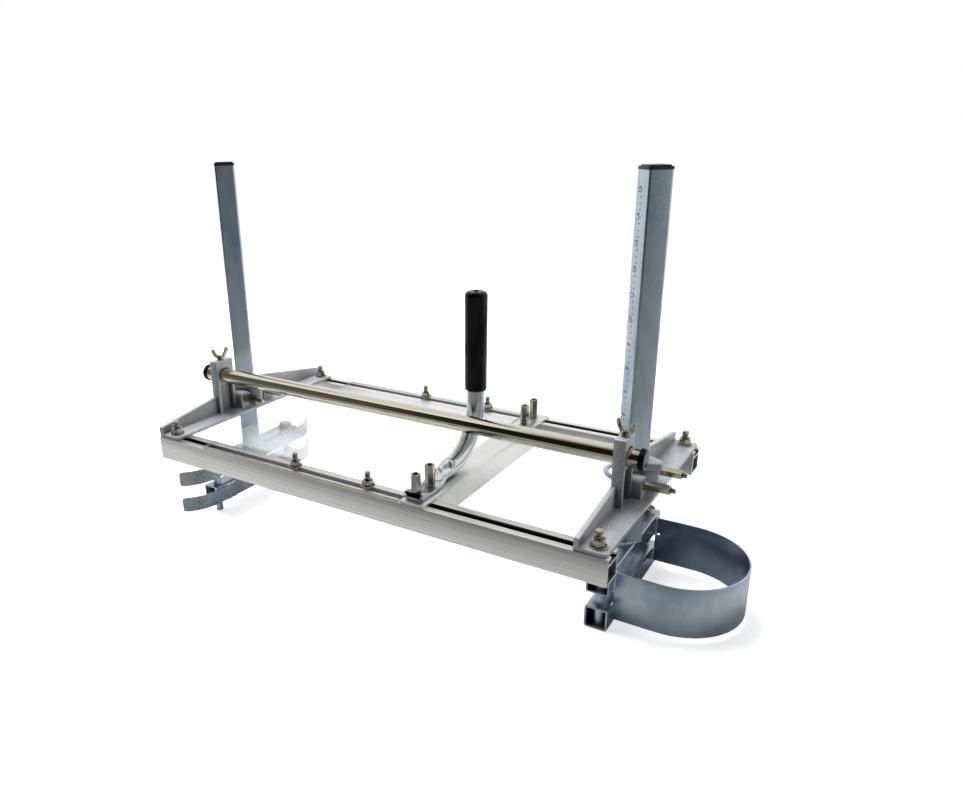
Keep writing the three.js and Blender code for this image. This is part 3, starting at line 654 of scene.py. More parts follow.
def makeHandle():
    h = handle
    lying = h["floor"] + h["radius"]
    bendY, bendZ = h["rise"] - h["bend"], lying + h["bend"]
    rounding = ((0, 0.5), (0.15, 0.15))
    rings = [handleRing(h["front"] + step, lying, 0, 1, 1, inset) for step, inset in rounding]
    start, steps, bendSteps = h["front"] + 0.5, 50, 36
    for k in range(steps):
        y = start + (bendY - start) * k / steps
        pressed, dented = fade(y, h["pressedTo"], h["dentedTo"]), fade(y, h["dentedTo"], bendY)
        rings.append(handleRing(y, lying, 0, pressed, dented))
    for k in range(bendSteps + 1):
        angle = pi / 2 * k / bendSteps
        y, z = bendY + h["bend"] * sin(angle), bendZ - h["bend"] * cos(angle)
        rings.append(handleRing(y, z, angle, 0, 0))
    rings.append(handleRing(h["rise"], h["top"], pi / 2, 0, 0))
    mesh = meshFrom("handleTube", *loft(rings))
    finishPiece("handleTube", mesh, "zincTube", "handle", ("handle_tube",), smoothAngle=50)


# Dipped grip: a round top with a dish and the small drip left in it, and a rolled lower edge
grip = {
    "radius": 12.8, "bottom": 88.4, "top": 203.2, "inner": 10.5, "round": 5.0, "rim": 2.0, "dish": 0.9,
    "dripRadius": 1.5, "dripHeight": 1.6, "sides": 80,
}


def makeGrip():
    g = grip
    drip, tip, dished = g["dripRadius"], g["top"] + g["dripHeight"], g["top"] - g["dish"]
    profile = [(pole, tip), (drip * 0.6, tip - 0.1), (drip * 0.9, tip - 0.6)]
    profile += [(drip + 0.1, g["top"] - 0.3), (drip + 1, dished)]
    profile += [(5.0, g["top"] - g["dish"] * 0.6), (7.0, g["top"] - 0.1)]
    crown, shoulder = g["radius"] - g["round"], g["top"] - g["round"]
    profile.append((crown, g["top"]))
    profile += quarterRound((crown, shoulder), (crown, g["top"]), (g["radius"], shoulder), 10)
    foot, lip = g["radius"] - g["rim"], g["bottom"] + g["rim"]
    profile += quarterRound((foot, lip), (g["radius"], lip), (foot, g["bottom"]), 8)
    profile += [(g["inner"], g["bottom"]), (g["inner"], handle["top"] + 1), (pole, handle["top"] + 1)]
    mesh = meshFrom("handleGrip", *loft(turnedRings(profile, g["sides"], handle["x"], handle["rise"])))
    finishPiece("handleGripSleeve", mesh, "vinyl", "handle", ("handle_grip",))


makeHandle()
makeGrip()
print("handle made")


# U-bolts: this is the bare rod round the riser, and its threaded ends are drawn with their nuts
uBolt = {
    "radius": 2.95, "reach": 22.0, "height": 18.0, "bendX": -4.0, "threadStart": 20.0, "threadEnd": 55.5,
    "sides": 32, "steps": 48,
}


def makeUBolt(side, originX, body):
    u = uBolt
    reach, tip = u["reach"], originX + u["threadStart"]
    centreX, centreY = originX + u["bendX"], sizes["middle"]
    # places along the rod, each with the direction of its outer side
    stations = [(tip, centreY - reach, 0, -1)]
    for k in range(u["steps"] + 1):
        angle = -pi / 2 - pi * k / u["steps"]
        x, y = cos(angle), sin(angle)
        stations.append((centreX + reach * x, centreY + reach * y, x, y))
    stations.append((tip, centreY + reach, 0, 1))
    section = circle(u["radius"], u["sides"])
    rings = [ringAt((x, y, u["height"]), (toX, toY, 0), (0, 0, 1), section) for x, y, toX, toY in stations]
    mesh = meshFrom(f"{side}UBolt", *loft(rings))
    finishPiece(f"{side}UBoltRod", mesh, "zinc", body, (f"{side}_u_bolt",))


for side, originX in endPlaces.items():
    makeUBolt(side, originX, endBodies[side])


# Fastener patterns, each drawn once about its own axis
def hexRadius(turn, acrossFlats):
    inFlat = (turn + pi / 6) % (pi / 3) - pi / 6
    return acrossFlats / 2 / cos(inFlat)


# the chamfer's circle as a share of the flats, how fast it widens, and how deep it is followed
hexShape = {"start": 0.985, "widens": 1.9, "levels": [0.0, 0.5, 1.0, 1.5], "mouth": 0.7, "sides": 72}


# Hexagon with chamfered corners on top, and below too if asked
def hexBody(acrossFlats, height, bore, chamferBottom, turned=0.0):
    levels, mouth, sides = hexShape["levels"], hexShape["mouth"], hexShape["sides"]
    steps = [(z, z) for z in levels] + [(height - z, z) for z in reversed(levels)]
    rings = []
    for index, (z, depth) in enumerate(steps):
        limit = acrossFlats / 2 * hexShape["start"] + depth * hexShape["widens"]
        chamfered = chamferBottom or index >= len(levels)
        ring = []
        for k in range(sides):
            turn = 2 * pi * k / sides
            radius = hexRadius(turn + turned, acrossFlats)
            if chamfered:
                radius = min(radius, limit)
            ring.append((radius * cos(turn), radius * sin(turn), z))
        rings.append(ring)
    if bore == 0:
        return loft(rings)
    inside = [(bore + mouth, height), (bore, height - mouth), (bore, mouth), (bore + mouth, 0.0)]
    return loft(rings + turnedRings(inside, sides), loop=True)


def washerBody(outer, inner, thickness, lift=0.0):
    rounded = 0.3
    top = lift + thickness
    profile = [
        (inner, lift), (outer - rounded, lift), (outer, lift + rounded), (outer, top - rounded),
        (outer - rounded, top), (inner, top),
    ]
    return loft(turnedRings(profile, 48), loop=True)


def shifted(part, dz):
    points, faces = part
    return [(x, y, z + dz) for x, y, z in points], faces


# Geometry Nodes
def newTree(name, inputs):
    tree = bpy.data.node_groups.new(name, "GeometryNodeTree")
    for label, kind in inputs.items():
        tree.interface.new_socket(label, in_out="INPUT", socket_type=f"NodeSocket{kind}")
    tree.interface.new_socket("Geometry", in_out="OUTPUT", socket_type="NodeSocketGeometry")
    return tree, tree.nodes.new("NodeGroupInput").outputs


def finishTree(tree, given, geometry):
    real = addNode(tree, "GeometryNodeRealizeInstances", {"Geometry": geometry})
    painted = addNode(tree, "GeometryNodeSetMaterial", {"Geometry": real, "Material": given["Material"]})
    addNode(tree, "NodeGroupOutput", {"Geometry": painted})
    return tree


def growMesh(name, tree, base, settings):
    holder = newObject(name, base)
    modifier = holder.modifiers.new("grow", "NODES")
    modifier.node_group = tree
    for item in tree.interface.items_tree:
        if item.item_type == "SOCKET" and item.in_out == "INPUT" and item.name in settings:
            modifier[item.identifier] = settings[item.name]
    return settledMesh(holder)


# Threaded rod: a plain core with one rolled ridge wound round it. Core and ridge are shares of
# the radius and the pitch, and the ridge ends so many millimetres below the rod's top.
threadShape = {"core": 0.9, "ridge": 0.42, "plainEnd": 0.6}


def makeThreadTree():
    tree, given = newTree("threadedRod", {
        "Material": "Material", "Radius": "Float", "Pitch": "Float", "Turns": "Float", "Length": "Float",
    })
    length, pitch, turns = given["Length"], given["Pitch"], given["Turns"]
    core, ridge, plainEnd = threadShape["core"], threadShape["ridge"], threadShape["plainEnd"]
    inner = addNode(tree, "ShaderNodeMath", {0: given["Radius"], 1: core}, operation="MULTIPLY")
    height = addNode(tree, "ShaderNodeMath", {0: pitch, 1: turns}, operation="MULTIPLY")
    half = addNode(tree, "ShaderNodeMath", {0: length, 1: 0.5}, operation="MULTIPLY")
    spiral = addNode(tree, "GeometryNodeCurveSpiral", {
        "Resolution": 24, "Rotations": turns, "Start Radius": inner, "End Radius": inner, "Height": height,
    })
    plain = addNode(tree, "ShaderNodeMath", {0: length, 1: height}, operation="SUBTRACT")
    lowest = addNode(tree, "ShaderNodeMath", {0: plain, 1: plainEnd * mm}, operation="SUBTRACT")
    rise = addNode(tree, "ShaderNodeCombineXYZ", {"Z": lowest})
    ridgeSize = addNode(tree, "ShaderNodeMath", {0: pitch, 1: ridge}, operation="MULTIPLY")
    profile = addNode(tree, "GeometryNodeCurvePrimitiveCircle", {"Resolution": 4, "Radius": ridgeSize})
    wound = addNode(tree, "GeometryNodeCurveToMesh", {
        "Curve": spiral, "Profile Curve": profile, "Fill Caps": True,
    })
    raised = addNode(tree, "GeometryNodeTransform", {"Geometry": wound, "Translation": rise})
    rod = addNode(tree, "GeometryNodeMeshCylinder", {"Vertices": 32, "Radius": inner, "Depth": length})
    middle = addNode(tree, "ShaderNodeCombineXYZ", {"Z": half})
    standing = addNode(tree, "GeometryNodeTransform", {"Geometry": rod, "Translation": middle})
    both = addNode(tree, "GeometryNodeJoinGeometry")
    for part in (standing, raised):
        feed(tree, both, "Geometry", part)
    return finishTree(tree, given, both)


# Copies of one fastener on a few places, each turned by a seeded random angle up to Spin
def makeCopyTree():
    tree, given = newTree("fastenerSet", {
        "Geometry": "Geometry", "Material": "Material", "Fastener": "Object", "Tilt": "Float",
        "Spin": "Float", "Seed": "Int",
    })
    shape = addNode(tree, "GeometryNodeObjectInfo", {
        "Object": given["Fastener"], "As Instance": True,
    }, transform_space="ORIGINAL")
    spin = addNode(tree, "FunctionNodeRandomValue", {
        "Seed": given["Seed"], 3: given["Spin"],
    }, data_type="FLOAT")
    turn = addNode(tree, "ShaderNodeCombineXYZ", {"Y": given["Tilt"], "Z": spin.outputs[1]})
    copies = addNode(tree, "GeometryNodeInstanceOnPoints", {
        "Points": given["Geometry"], "Instance": shape.outputs["Geometry"], "Rotation": turn,
    })
    return finishTree(tree, given, copies)


threadTree = makeThreadTree()
copyTree = makeCopyTree()


def rodPoints(size, length, turns):
    mesh = growMesh("rod", threadTree, bpy.data.meshes.new("empty"), {
        "Material": finishes["nickel"], "Radius": size["radius"] * mm, "Pitch": size["pitch"] * mm,
        "Turns": turns, "Length": length * mm,
    })
    return listsOf(mesh, mm)


def patternObject(name, parts):
    mesh = meshFrom(name, *joinLists(parts), place=lambda x, y, z: Vector((x, y, z)) * mm)
    mesh.shade_smooth()
    return bpy.data.objects.new(name, mesh)


def placeCopies(name, pattern, spots, body, replaced, look="nickel", tilt=0.0, spin=1.0, seed=1):
    base = bpy.data.meshes.new(name)
    base.from_pydata([at(*spot) for spot in spots], [], [])
    mesh = growMesh(name, copyTree, base, {
        "Material": finishes[look], "Fastener": pattern, "Tilt": tilt, "Spin": spin, "Seed": seed,
    })
    finishPiece(name, mesh, look, body, replaced, smoothAngle=32)


# the bracket bolts are M8, and the sheet's are quarter inch
bracketBolt = {
    "radius": 3.95, "pitch": 1.25, "flats": 13.0, "nut": 6.5, "washer": 8.5, "washerThickness": 1.6,
    "base": 4.4, "top": 21.5, "fromEnd": 20.0,
}
sheetBolt = {
    "radius": 3.1, "pitch": 1.27, "flats": 11.1, "nut": 5.5, "washer": 8.0, "washerThickness": 1.5,
    "base": 3.4, "top": 20.0, "slotFront": (223.5, 329.0), "slotRear": (219.5, 322.0),
}
m6 = {"radius": 2.95, "pitch": 1.0, "flats": 10.0, "washer": 6.4, "washerThickness": 1.2}
longNut = {
    "length": 25.0, "footZ": 7.0, "beamZ": 3.4, "frontInner": 41.5, "rearInner": 277.5,
    "thread": 15.5, "threadBase": -0.5, "turns": 4.0, "legLength": 26.0, "legTurns": 9.0,
}
slotFoot = -8.0     # the slot bolts' foot, under the slot's lips
threadMore = 3.0    # their thread is so much longer than what stands over the washer's foot
play = 0.2      # between a thread and its nut's bore
seat = 0.05     # between a washer and its nut


# Stud, washer and nut of one slot bolt
def slotBolt(size):
    base, top = size["base"], size["top"]
    bore, nutBase = size["radius"] + play, base + size["washerThickness"] + seat
    return [
        shifted(rodPoints(size, top - slotFoot, (top - base + threadMore) / size["pitch"]), slotFoot),
        washerBody(size["washer"], bore, size["washerThickness"], base),
        shifted(hexBody(size["flats"], size["nut"], bore, False), nutBase),
    ]


bracketPattern = patternObject("bracketBoltPattern", slotBolt(bracketBolt))
for (side, originX), seed in zip(endPlaces.items(), (3, 8)):
    spots = [(originX + bracketBolt["fromEnd"], sizes[row], 0.0) for row in ("slotFront", "slotRear")]
    replaced = [f"{side}_bracket_{kind}_{row}" for kind in ("bolt", "nut") for row in ("front", "rear")]
    placeCopies(f"{side}BracketBolts", bracketPattern, spots, endBodies[side], replaced, seed=seed)

sheetPattern = patternObject("sheetBoltPattern", slotBolt(sheetBolt))
sheetSpots = [(x, sizes[row], 0.0) for row in ("slotFront", "slotRear") for x in sheetBolt[row]]
sheetNodes = [
    f"sheet_{kind}_{row}_{column}" for kind in ("bolt", "nut")
    for row in ("front", "rear") for column in ("left", "right")
]
placeCopies("sheetBolts", sheetPattern, sheetSpots, "guard", sheetNodes, seed=5)

# Long nuts of the handle stand on the pressed foot in front and on the crossbeam behind
nutBore = m6["radius"] + play
longNutPattern = patternObject("longNutPattern", [
    hexBody(m6["flats"], longNut["length"], nutBore, True),
    shifted(rodPoints(m6, longNut["thread"], longNut["turns"]), longNut["threadBase"]),
])
beamSpots = [(handle["x"], y, longNut["footZ"]) for y in (sizes["slotFront"], longNut["frontInner"])]
beamSpots += [(handle["x"], y, longNut["beamZ"]) for y in (longNut["rearInner"], sizes["slotRear"])]
beamNodes = [
    f"beam_{kind}_{place}" for kind in ("bolt", "nut")
    for place in ("front_outer", "front_inner", "rear_inner", "rear_outer")
]
placeCopies("handleNuts", longNutPattern, beamSpots, "handle", beamNodes, seed=4)

# Long nuts on the U-bolt legs, with a washer against the boss; the right ones stand on a corner
bossFace = 22.7
for (side, originX), turned in zip(endPlaces.items(), (0.0, pi / 6)):
    nut = hexBody(m6["flats"], longNut["legLength"], nutBore, True, turned=turned)
    thread = rodPoints(m6, uBolt["threadEnd"] - uBolt["threadStart"], longNut["legTurns"])
    pattern = patternObject(f"{side}LegNutPattern", [
        washerBody(m6["washer"], nutBore, m6["washerThickness"]),
        shifted(nut, m6["washerThickness"] + seat),
        shifted(thread, uBolt["threadStart"] - bossFace),
    ])
    legs = [sizes["middle"] - uBolt["reach"], sizes["middle"] + uBolt["reach"]]
    spots = [(originX + bossFace, y, uBolt["height"]) for y in legs]
    replaced = [f"{side}_u_bolt_nut_{row}" for row in ("front", "rear")]
    placeCopies(f"{side}LegNuts", pattern, spots, endBodies[side], replaced, tilt=pi / 2, spin=0.0)
print("fasteners placed")


# Clamp bolts through the jaw tubes
clampBolt = {
    "head": 6.4, "headBase": 0.2, "flats": 17.0, "reach": 74.5, "edge": 0.7, "sides": 40,
    "left": {"radius": 4.9, "length": 80.0}, "right": {"radius": 6.1, "length": 67.5},
}
for side, originX in endPlaces.items():
    radius, length, edge = clampBolt[side]["radius"], clampBolt[side]["length"], clampBolt["edge"]
    profile = [(pole, 0), (radius - edge, 0), (radius, edge), (radius, length), (pole, length)]
    shank = shifted(loft(turnedRings(profile, clampBolt["sides"])), -length)
    rod = patternObject(f"{side}ClampRodPattern", [shank])
    hexagon = shifted(hexBody(clampBolt["flats"], clampBolt["head"], 0, False), clampBolt["headBase"])
    head = patternObject(f"{side}ClampHeadPattern", [hexagon])
    spots = [
        (originX + sizes["riserX"], sizes["middle"] + way * clampBolt["reach"], sizes["jawTop"])
        for way in (-1, 1)
    ]
    replaced = [f"{side}_clamp_bolt_{row}" for row in ("front", "rear")]
    placeCopies(f"{side}ClampRods", rod, spots, f"{side}_lift", replaced, look="zinc", seed=6)
    placeCopies(f"{side}ClampHeads", head, spots, f"{side}_lift", (), look="nickel", seed=6)


# Wing screws: two flat ears in the plane of the axis, turned as in the photo, in degrees
wing = {
    "turned": {"left": 76.0, "right": -25.0},
    "x": 6.2, "y": 112.75, "base": 78.2, "shank": 2.9, "foot": -10.0, "hub": 4.6, "hubHeight": 6.0,
    "thickness": 2.6, "sides": 32,
    # outline of an ear: distances from the axis and heights over the base
    "ear": [
        (2.5, 1.5), (5, 2), (9, 5.5), (12.3, 11), (12.6, 14.5),
        (11.3, 16.4), (9.2, 16.2), (7.4, 14), (5.6, 10), (3, 6.5),
    ],
    # how far the ear's outline is drawn in, at depths from each face
    "rounding": [(0, 0.9), (0.15, 0.4), (0.6, 0)],
}


def wingEar(way):
    outline = smoothLoop([(way * out, up) for out, up in wing["ear"]], 6)
    half = wing["thickness"] / 2
    steps = [(depth - half, inset) for depth, inset in wing["rounding"]]
    steps += [(half - depth, inset) for depth, inset in reversed(wing["rounding"])]
    return loft([[(p.x, depth, p.y) for p in drawnIn(outline, inset)] for depth, inset in steps])


def makeWingScrew(side, originX):
    w, node = wing, f"{side}_wing_screw"    # its body has the same name
    hub, top = w["hub"], w["hubHeight"]
    profile = [
        (pole, w["foot"]), (w["shank"], w["foot"]), (w["shank"], 0.2), (hub - 0.5, 0.2), (hub, 0.7),
        (hub * 0.86, top - 0.6), (hub * 0.74, top), (pole, top),
    ]
    screw = loft(turnedRings(profile, w["sides"]))
    points, faces = joinLists([screw, wingEar(1), wingEar(-1)])
    turn = Matrix.Rotation(radians(w["turned"][side]), 4, "Z")
    place = Matrix.Translation((originX + w["x"], w["y"], w["base"])) @ turn
    mesh = meshFrom(f"{side}WingScrew", [tuple(place @ Vector(p)) for p in points], faces)
    finishPiece(f"{side}WingScrewCast", mesh, "nickel", node, (node,), smoothAngle=45)


for side, originX in endPlaces.items():
    makeWingScrew(side, originX)
print("wing screws made")


# Weld beads: overlapping drops along a line, a little uneven, as the welder's hand leaves them
def makeWeldTree():
    tree, given = newTree("weldBead", {
        "Geometry": "Geometry", "Material": "Material", "Step": "Float", "Drop": "Float",
        "Smallest": "Float", "Largest": "Float", "Seed": "Int",
    })
    line = addNode(tree, "GeometryNodeMeshToCurve", {"Mesh": given["Geometry"]})
    even = addNode(tree, "GeometryNodeResampleCurve", {
        "Curve": line, "Length": given["Step"],
    }, mode="LENGTH")
    points = addNode(tree, "GeometryNodeCurveToPoints", {"Curve": even}, mode="EVALUATED")
    drop = addNode(tree, "GeometryNodeMeshIcoSphere", {"Radius": given["Drop"], "Subdivisions": 3})
    uneven = addNode(tree, "FunctionNodeRandomValue", {
        2: given["Smallest"], 3: given["Largest"], "Seed": given["Seed"],
    }, data_type="FLOAT")
    drops = addNode(tree, "GeometryNodeInstanceOnPoints", {
        "Points": points, "Instance": drop, "Scale": uneven.outputs[1],
    })
    return finishTree(tree, given, drops)


weld = {
    "step": 1.25, "drop": 1.7, "smallest": 0.75, "largest": 1.15, "riserCorner": 18.2, "tubeEdge": 11.9,
    "guardLegs": (69.4, 72.6), "guardTop": -65.5, "guardBottom": -85.5, "skidSpots": (-62, 0, 62),
    "skidHalf": 8.0,
}
weldTree = makeWeldTree()


def placeBeads(name, lines, body, seed):
    base = bpy.data.meshes.new(name)
    pairs = [(2 * k, 2 * k + 1) for k in range(len(lines))]
    base.from_pydata([at(*p) for line in lines for p in line], pairs, [])
    mesh = growMesh(name, weldTree, base, {
        "Material": finishes["weld"], "Step": weld["step"] * mm, "Drop": weld["drop"] * mm,
        "Smallest": weld["smallest"], "Largest": weld["largest"], "Seed": seed,
    })
    finishPiece(name, mesh, "weld", body, smoothAngle=60)


# Round each riser's foot, along its four faces where they stand on the jaw tube
for (side, originX), seed in zip(endPlaces.items(), (11, 12)):
    x, y, z = originX + sizes["riserX"], sizes["middle"], sizes["jawTop"] + 0.4
    corner, edge = weld["riserCorner"], weld["tubeEdge"]
    feet = [
        ((x, y + wayY * corner, z), (x + wayX * edge, y + wayY * (corner - edge), z))
        for wayX in (-1, 1) for wayY in (-1, 1)
    ]
    placeBeads(f"{side}FootWeld", feet, f"{side}_lift", seed)

# Down both sides of each leg of the nose guard, on the jaw tube's face
guardX = hoop["x"] + sizes["jawSide"] / 2 + 0.6
inner, outer = weld["guardLegs"]
legLines = [
    ((guardX, sizes["middle"] + y, weld["guardTop"]), (guardX, sizes["middle"] + y, weld["guardBottom"]))
    for y in (-outer, -inner, inner, outer)
]
placeBeads("guardWeld", legLines, "right_lift", 13)

# Three short beads over and under each skid
for name, body, centreZ, seed in (
    ("upperSkidWeld", "left_lift", upperJawZ, 14), ("lowerSkidWeld", "left_lower_jaw", lowerJawZ, 15),
):
    x, rise = skid["inner"] + 0.3, skid["height"] / 2 + 0.3
    lines = []
    for y in weld["skidSpots"]:
        start, end = sizes["middle"] + y - weld["skidHalf"], sizes["middle"] + y + weld["skidHalf"]
        lines += [((x, start, z), (x, end, z)) for z in (centreZ + rise, centreZ - rise)]
    placeBeads(name, lines, body, seed)
print("welds made")


# Scale on the front left face of each riser: a figure at each inch and short strokes between them
scale = {
    "inch": 25.4, "topFigure": 15, "topZ": 314.5, "lowestFigure": 4, "strokesPerInch": 4,
    "figureSize": 8.0, "figureIn": 9.0, "figureDepth": 0.04, "figureBold": 0.12,
    "strokeIn": 11.4, "stroke": (1.1, 0.08, 3.4), "proud": 0.04,
}


def makeStrokeTree():
    tree, given = newTree("scaleStrokes", {
        "Material": "Material", "Count": "Int", "Start": "Vector", "Step": "Float", "Size": "Vector",
        "Turn": "Float",
    })
    rise = addNode(tree, "ShaderNodeCombineXYZ", {"Z": given["Step"]})
    line = addNode(tree, "GeometryNodeMeshLine", {
        "Count": given["Count"], "Start Location": given["Start"], "Offset": rise,
    }, mode="OFFSET")
    stroke = addNode(tree, "GeometryNodeMeshCube", {"Size": given["Size"]})
    turn = addNode(tree, "ShaderNodeCombineXYZ", {"Z": given["Turn"]})
    strokes = addNode(tree, "GeometryNodeInstanceOnPoints", {
        "Points": line, "Instance": stroke, "Rotation": turn,
    })
    return finishTree(tree, given, strokes)


def figurePoints(figure):
    text = bpy.data.curves.new("figure", "FONT")
    text.body = str(figure)
    text.size = scale["figureSize"]
    text.align_x, text.align_y = "CENTER", "CENTER"
    text.extrude = scale["figureDepth"]
    text.offset = scale["figureBold"]
    text.resolution_u = 4
    return listsOf(settledMesh(newObject("figure", text)))


def makeScale(side, originX, strokeTree):
    half = sizes["jawSide"] / 2
    across = Vector((1, -1, 0)).normalized()    # from the face's left edge to the riser's front corner
    outward = Vector((-1, -1, 0)).normalized()
    axis = Vector((originX + sizes["riserX"], sizes["middle"], 0))

    def onFace(fromEdge, z):
        away = outward * (half + scale["proud"]) + across * (fromEdge - half)
        return axis + away + Vector((0, 0, z))

    def figureZ(figure):
        return scale["topZ"] - (scale["topFigure"] - figure) * scale["inch"]

    parts = []
    for figure in range(scale["lowestFigure"], scale["topFigure"] + 1):
        middle = onFace(scale["figureIn"], figureZ(figure))
        points, faces = figurePoints(figure)
        # the figures read upwards
        placed = [middle + Vector((0, 0, x)) - across * y + outward * depth for x, y, depth in points]
        parts.append((placed, faces))
    mesh = meshFrom(f"{side}Figures", *joinLists(parts))
    finishPiece(f"{side}ScaleFigures", mesh, "ink", f"{side}_lift")

    perInch = scale["strokesPerInch"]
    long, deep, wide = scale["stroke"]
    mesh = growMesh("strokes", strokeTree, bpy.data.meshes.new("empty"), {
        "Material": finishes["ink"], "Step": scale["inch"] / perInch * mm,
        "Count": (scale["topFigure"] - scale["lowestFigure"]) * perInch + 1,
        "Start": at(*onFace(scale["strokeIn"], figureZ(scale["lowestFigure"]))),
        "Size": Vector((wide, deep, long)) * mm, "Turn": atan2(across.y, across.x),
    })
    finishPiece(f"{side}ScaleStrokes", mesh, "ink", f"{side}_lift")


strokeTree = makeStrokeTree()
for side, originX in endPlaces.items():
    makeScale(side, originX, strokeTree)
print("scales made")


# Floor, world, lamps and camera
studio = {
    "paperLow": (-2.0, -0.75), "paperHigh": (1.1, 2.0), "paperSeen": "#f2f2f2", "paperGlow": 0.6,
    # painted shade on the floor: its colour, as reflections and bounced light see it, is bright near the
    # mill and behind it, and fades out to the front and right
    "fadeFrom": 0.25, "fadeStart": 0.1, "fadeEnd": 1.0, "sideways": 1.5, "near": 0.80, "faded": 0.15,
    "floorTilt": atan2(0.0122, 0.5623),   # the mill leans on its left bolt ends
    "floorDrop": 0.0004, "fill": 0.6,
    # name, place, target, size and power of each lamp
    "lamps": [
        ("softBoxAbove", (-0.8, 0.25, 2.0), (0, 0, 0.15), (1.4, 1.2), 54.0),
        ("softBoxLeft", (-1.9, -0.3, 1.0), (0, 0, 0.2), (1.2, 1.2), 12.0),
    ],
}
# White paper stands behind and beside the mill. In front of it the room is dark, more so to the
# right, with a bright ceiling on the left that comes low and a dim one on the right. Pairs are the
# directions between which one colour turns into the next.
room = {
    "wall": ["#a9adaf", "#66635c", "#1f1b18", "#747b80"],
    "wallTurns": [(-0.92, -0.78), (-0.66, -0.44), (0.1, 0.5)],
    "ceilingLight": (1.3, 1.3, 1.3, 1.0), "ceilingDim": "#8f8b7e", "ceilingTurn": (-0.46, -0.34),
    "ceilingEdge": (0.92, 1.02), "ceilingSlope": 0.47,
    "ground": "#a6a6a6", "groundEdge": (-0.15, -0.06),
    "front": (0.10, -0.995, 0.0), "paperEdge": (-0.15, 0.32),
}


def makeFloor():
    (lowX, lowY), (highX, highY) = studio["paperLow"], studio["paperHigh"]
    mesh = bpy.data.meshes.new("studioFloor")
    corners = [(lowX, lowY, 0), (highX, lowY, 0), (highX, highY, 0), (lowX, highY, 0)]
    mesh.from_pydata(corners, [], [(0, 1, 2, 3)])
    footX = railCorner.x + sizes["riserX"] * mm
    tilt = Matrix.Rotation(-studio["floorTilt"], 4, "Y")
    toFoot = Matrix.Translation((-footX, 0, 0))
    mesh.transform(Matrix.Translation((footX, 0, -studio["floorDrop"])) @ tilt @ toFoot)
    floor = newObject("studioFloor", mesh)

    material, tree, shader = newMaterial("palePaper", {"Roughness": 0.9})
    place = addNode(tree, "ShaderNodeTexCoord")
    parts = addNode(tree, "ShaderNodeSeparateXYZ", {"Vector": place.outputs["Object"]})
    right = addNode(tree, "ShaderNodeMath", {0: parts.outputs["X"], 1: 0.0}, operation="MAXIMUM")
    sideways = addNode(tree, "ShaderNodeMath", {0: right, 1: studio["sideways"]}, operation="DIVIDE")
    nearer = addNode(tree, "ShaderNodeMath", {
        0: parts.outputs["Y"], 1: studio["fadeFrom"],
    }, operation="SUBTRACT")
    forward = addNode(tree, "ShaderNodeMath", {0: nearer, 1: 0.0}, operation="MINIMUM")
    away = addNode(tree, "ShaderNodeCombineXYZ", {"X": sideways, "Y": forward})
    distance = addNode(tree, "ShaderNodeVectorMath", {0: away}, operation="LENGTH")
    # painted shade: the floor's colour for reflected and bounced rays darkens away from the mill
    level = addNode(tree, "ShaderNodeMapRange", {
        "Value": distance, "From Min": studio["fadeStart"], "From Max": studio["fadeEnd"],
        "To Min": studio["near"], "To Max": studio["faded"],
    }, interpolation_type="SMOOTHSTEP")
    rays = addNode(tree, "ShaderNodeLightPath")
    paper = addNode(tree, "ShaderNodeMix", {
        "Factor": rays.outputs["Is Camera Ray"], "A": level, "B": linear(studio["paperSeen"]),
    }, data_type="RGBA")
    feed(tree, shader, "Base Color", paper)
    glow = addNode(tree, "ShaderNodeEmission", {"Color": (1, 1, 1, 1), "Strength": studio["paperGlow"]})
    none = addNode(tree, "ShaderNodeEmission", {"Color": (0, 0, 0, 1), "Strength": 0.0})
    seen = addNode(tree, "ShaderNodeMixShader", {0: rays.outputs["Is Camera Ray"], 1: none, 2: glow})
    both = addNode(tree, "ShaderNodeAddShader", {0: shader, 1: seen})
    feed(tree, tree.nodes["Material Output"], "Surface", both)
    mesh.materials.append(material)


# The first colour below a stretch of values, the second one above it
def turnColour(tree, value, stretch, first, second):
    start, end = stretch
    share = addNode(tree, "ShaderNodeMapRange", {
        "Value": value, "From Min": start, "From Max": end,
    }, interpolation_type="SMOOTHSTEP")
    return addNode(tree, "ShaderNodeMix", {"Factor": share, "A": first, "B": second}, data_type="RGBA")


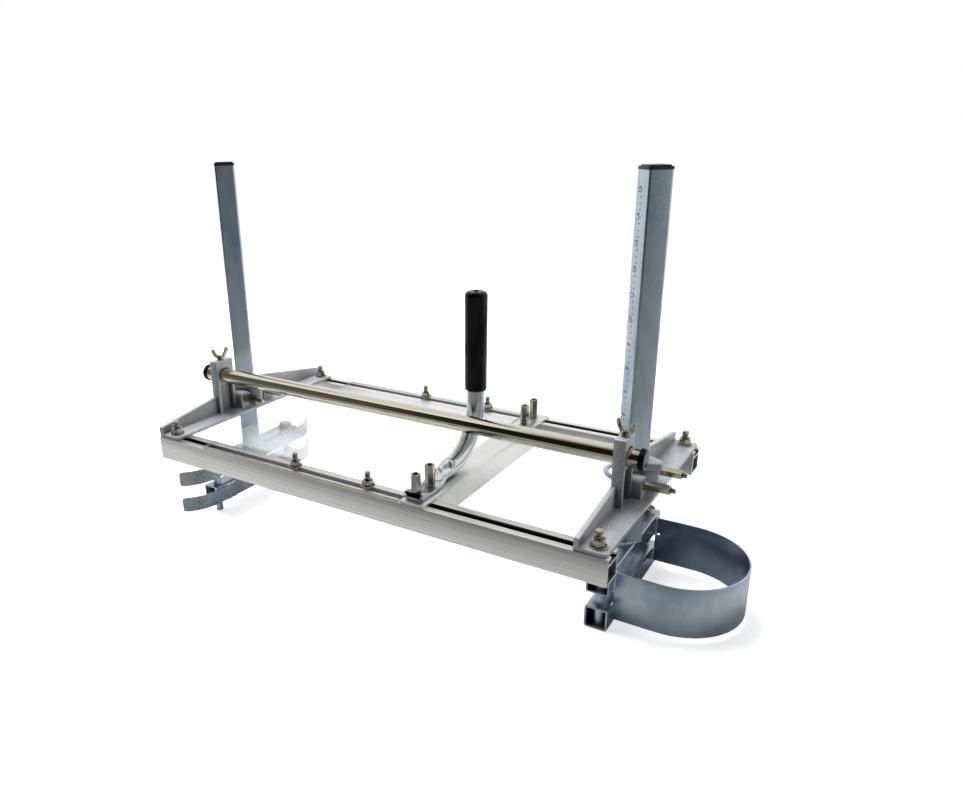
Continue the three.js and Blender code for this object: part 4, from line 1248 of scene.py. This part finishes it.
def makeWorld():
    world = bpy.data.worlds.new("paleStudio")
    bpy.context.scene.world = world
    world.use_nodes = True
    tree = world.node_tree
    direction = addNode(tree, "ShaderNodeTexCoord").outputs["Generated"]
    parts = addNode(tree, "ShaderNodeSeparateXYZ", {"Vector": direction})
    towardsFront = addNode(tree, "ShaderNodeVectorMath", {
        0: direction, 1: room["front"],
    }, operation="DOT_PRODUCT")
    toRight, upwards = parts.outputs["X"], parts.outputs["Z"]
    wall = linear(room["wall"][0])
    for nextColour, stretch in zip(room["wall"][1:], room["wallTurns"]):
        wall = turnColour(tree, toRight, stretch, wall, linear(nextColour))
    ceiling = turnColour(
        tree, toRight, room["ceilingTurn"], room["ceilingLight"], linear(room["ceilingDim"]),
    )
    slope = addNode(tree, "ShaderNodeMath", {0: toRight, 1: room["ceilingSlope"]}, operation="MULTIPLY")
    height = addNode(tree, "ShaderNodeMath", {0: upwards, 1: slope}, operation="SUBTRACT")
    upper = turnColour(tree, height, room["ceilingEdge"], wall, ceiling)
    ahead = turnColour(tree, upwards, room["groundEdge"], linear(room["ground"]), upper)
    around = turnColour(tree, towardsFront, room["paperEdge"], (1.0, 1.0, 1.0, 1.0), ahead)

    # metals mirror the room in full, and dull surfaces get a share of it as fill light
    rays = addNode(tree, "ShaderNodeLightPath")
    strength = addNode(tree, "ShaderNodeMapRange", {
        "Value": rays.outputs["Is Glossy Ray"], "To Min": studio["fill"], "To Max": 1.0,
    })
    lit = addNode(tree, "ShaderNodeBackground", {"Color": around, "Strength": strength})
    backdrop = addNode(tree, "ShaderNodeBackground", {"Color": (1, 1, 1, 1), "Strength": 1.0})
    seen = addNode(tree, "ShaderNodeMath", {
        0: rays.outputs["Is Camera Ray"], 1: rays.outputs["Is Transmission Ray"],
    }, operation="MAXIMUM")
    mix = addNode(tree, "ShaderNodeMixShader", {0: seen, 1: lit, 2: backdrop})
    feed(tree, tree.nodes["World Output"], "Surface", mix)


def makeLamp(name, place, target, size, power):
    light = bpy.data.lights.new(name, "AREA")
    light.shape = "RECTANGLE"
    light.size, light.size_y = size
    light.energy = power
    lamp = newObject(name, light)
    lamp.location = place
    lamp.rotation_euler = (Vector(target) - Vector(place)).to_track_quat("-Z", "Y").to_euler()
    lamp.visible_glossy = False    # the metals mirror the room alone


# Solved from points of the rails and risers: focal length and centre in pixels of a 961 by 800
# image, angles in radians, place in millimetres
view = {
    "width": 961, "height": 800, "focal": 780.961, "centreX": 421.457, "centreY": 414.395,
    "yaw": 0.5776, "pitch": 0.3475, "roll": -0.0189, "place": (809.0, -612.1, 370.4), "sensor": 36.0,
}


def makeCamera():
    width, yaw, pitch, roll = view["width"], view["yaw"], view["pitch"], view["roll"]
    forward = Vector((-sin(yaw) * cos(pitch), cos(yaw) * cos(pitch), -sin(pitch)))
    right = Vector((cos(yaw), sin(yaw), 0))
    up = right.cross(forward)
    tiltedRight = right * cos(roll) + up * sin(roll)
    tiltedUp = up * cos(roll) - right * sin(roll)
    lens = bpy.data.cameras.new("photoCamera")
    lens.sensor_fit = "HORIZONTAL"
    lens.sensor_width = view["sensor"]
    lens.lens = view["focal"] / width * view["sensor"]
    lens.shift_x = (width / 2 - view["centreX"]) / width
    lens.shift_y = (view["centreY"] - view["height"] / 2) / width
    lens.clip_start, lens.clip_end = 0.01, 50
    camera = newObject("photoCamera", lens)
    basis = Matrix((tiltedRight, tiltedUp, -forward)).transposed().to_4x4()
    camera.matrix_world = Matrix.Translation(at(*view["place"])) @ basis
    bpy.context.scene.camera = camera


makeFloor()
makeWorld()
for lamp in studio["lamps"]:
    makeLamp(*lamp)
makeCamera()
bpy.context.scene.view_settings.view_transform = "Standard"
print("studio ready")
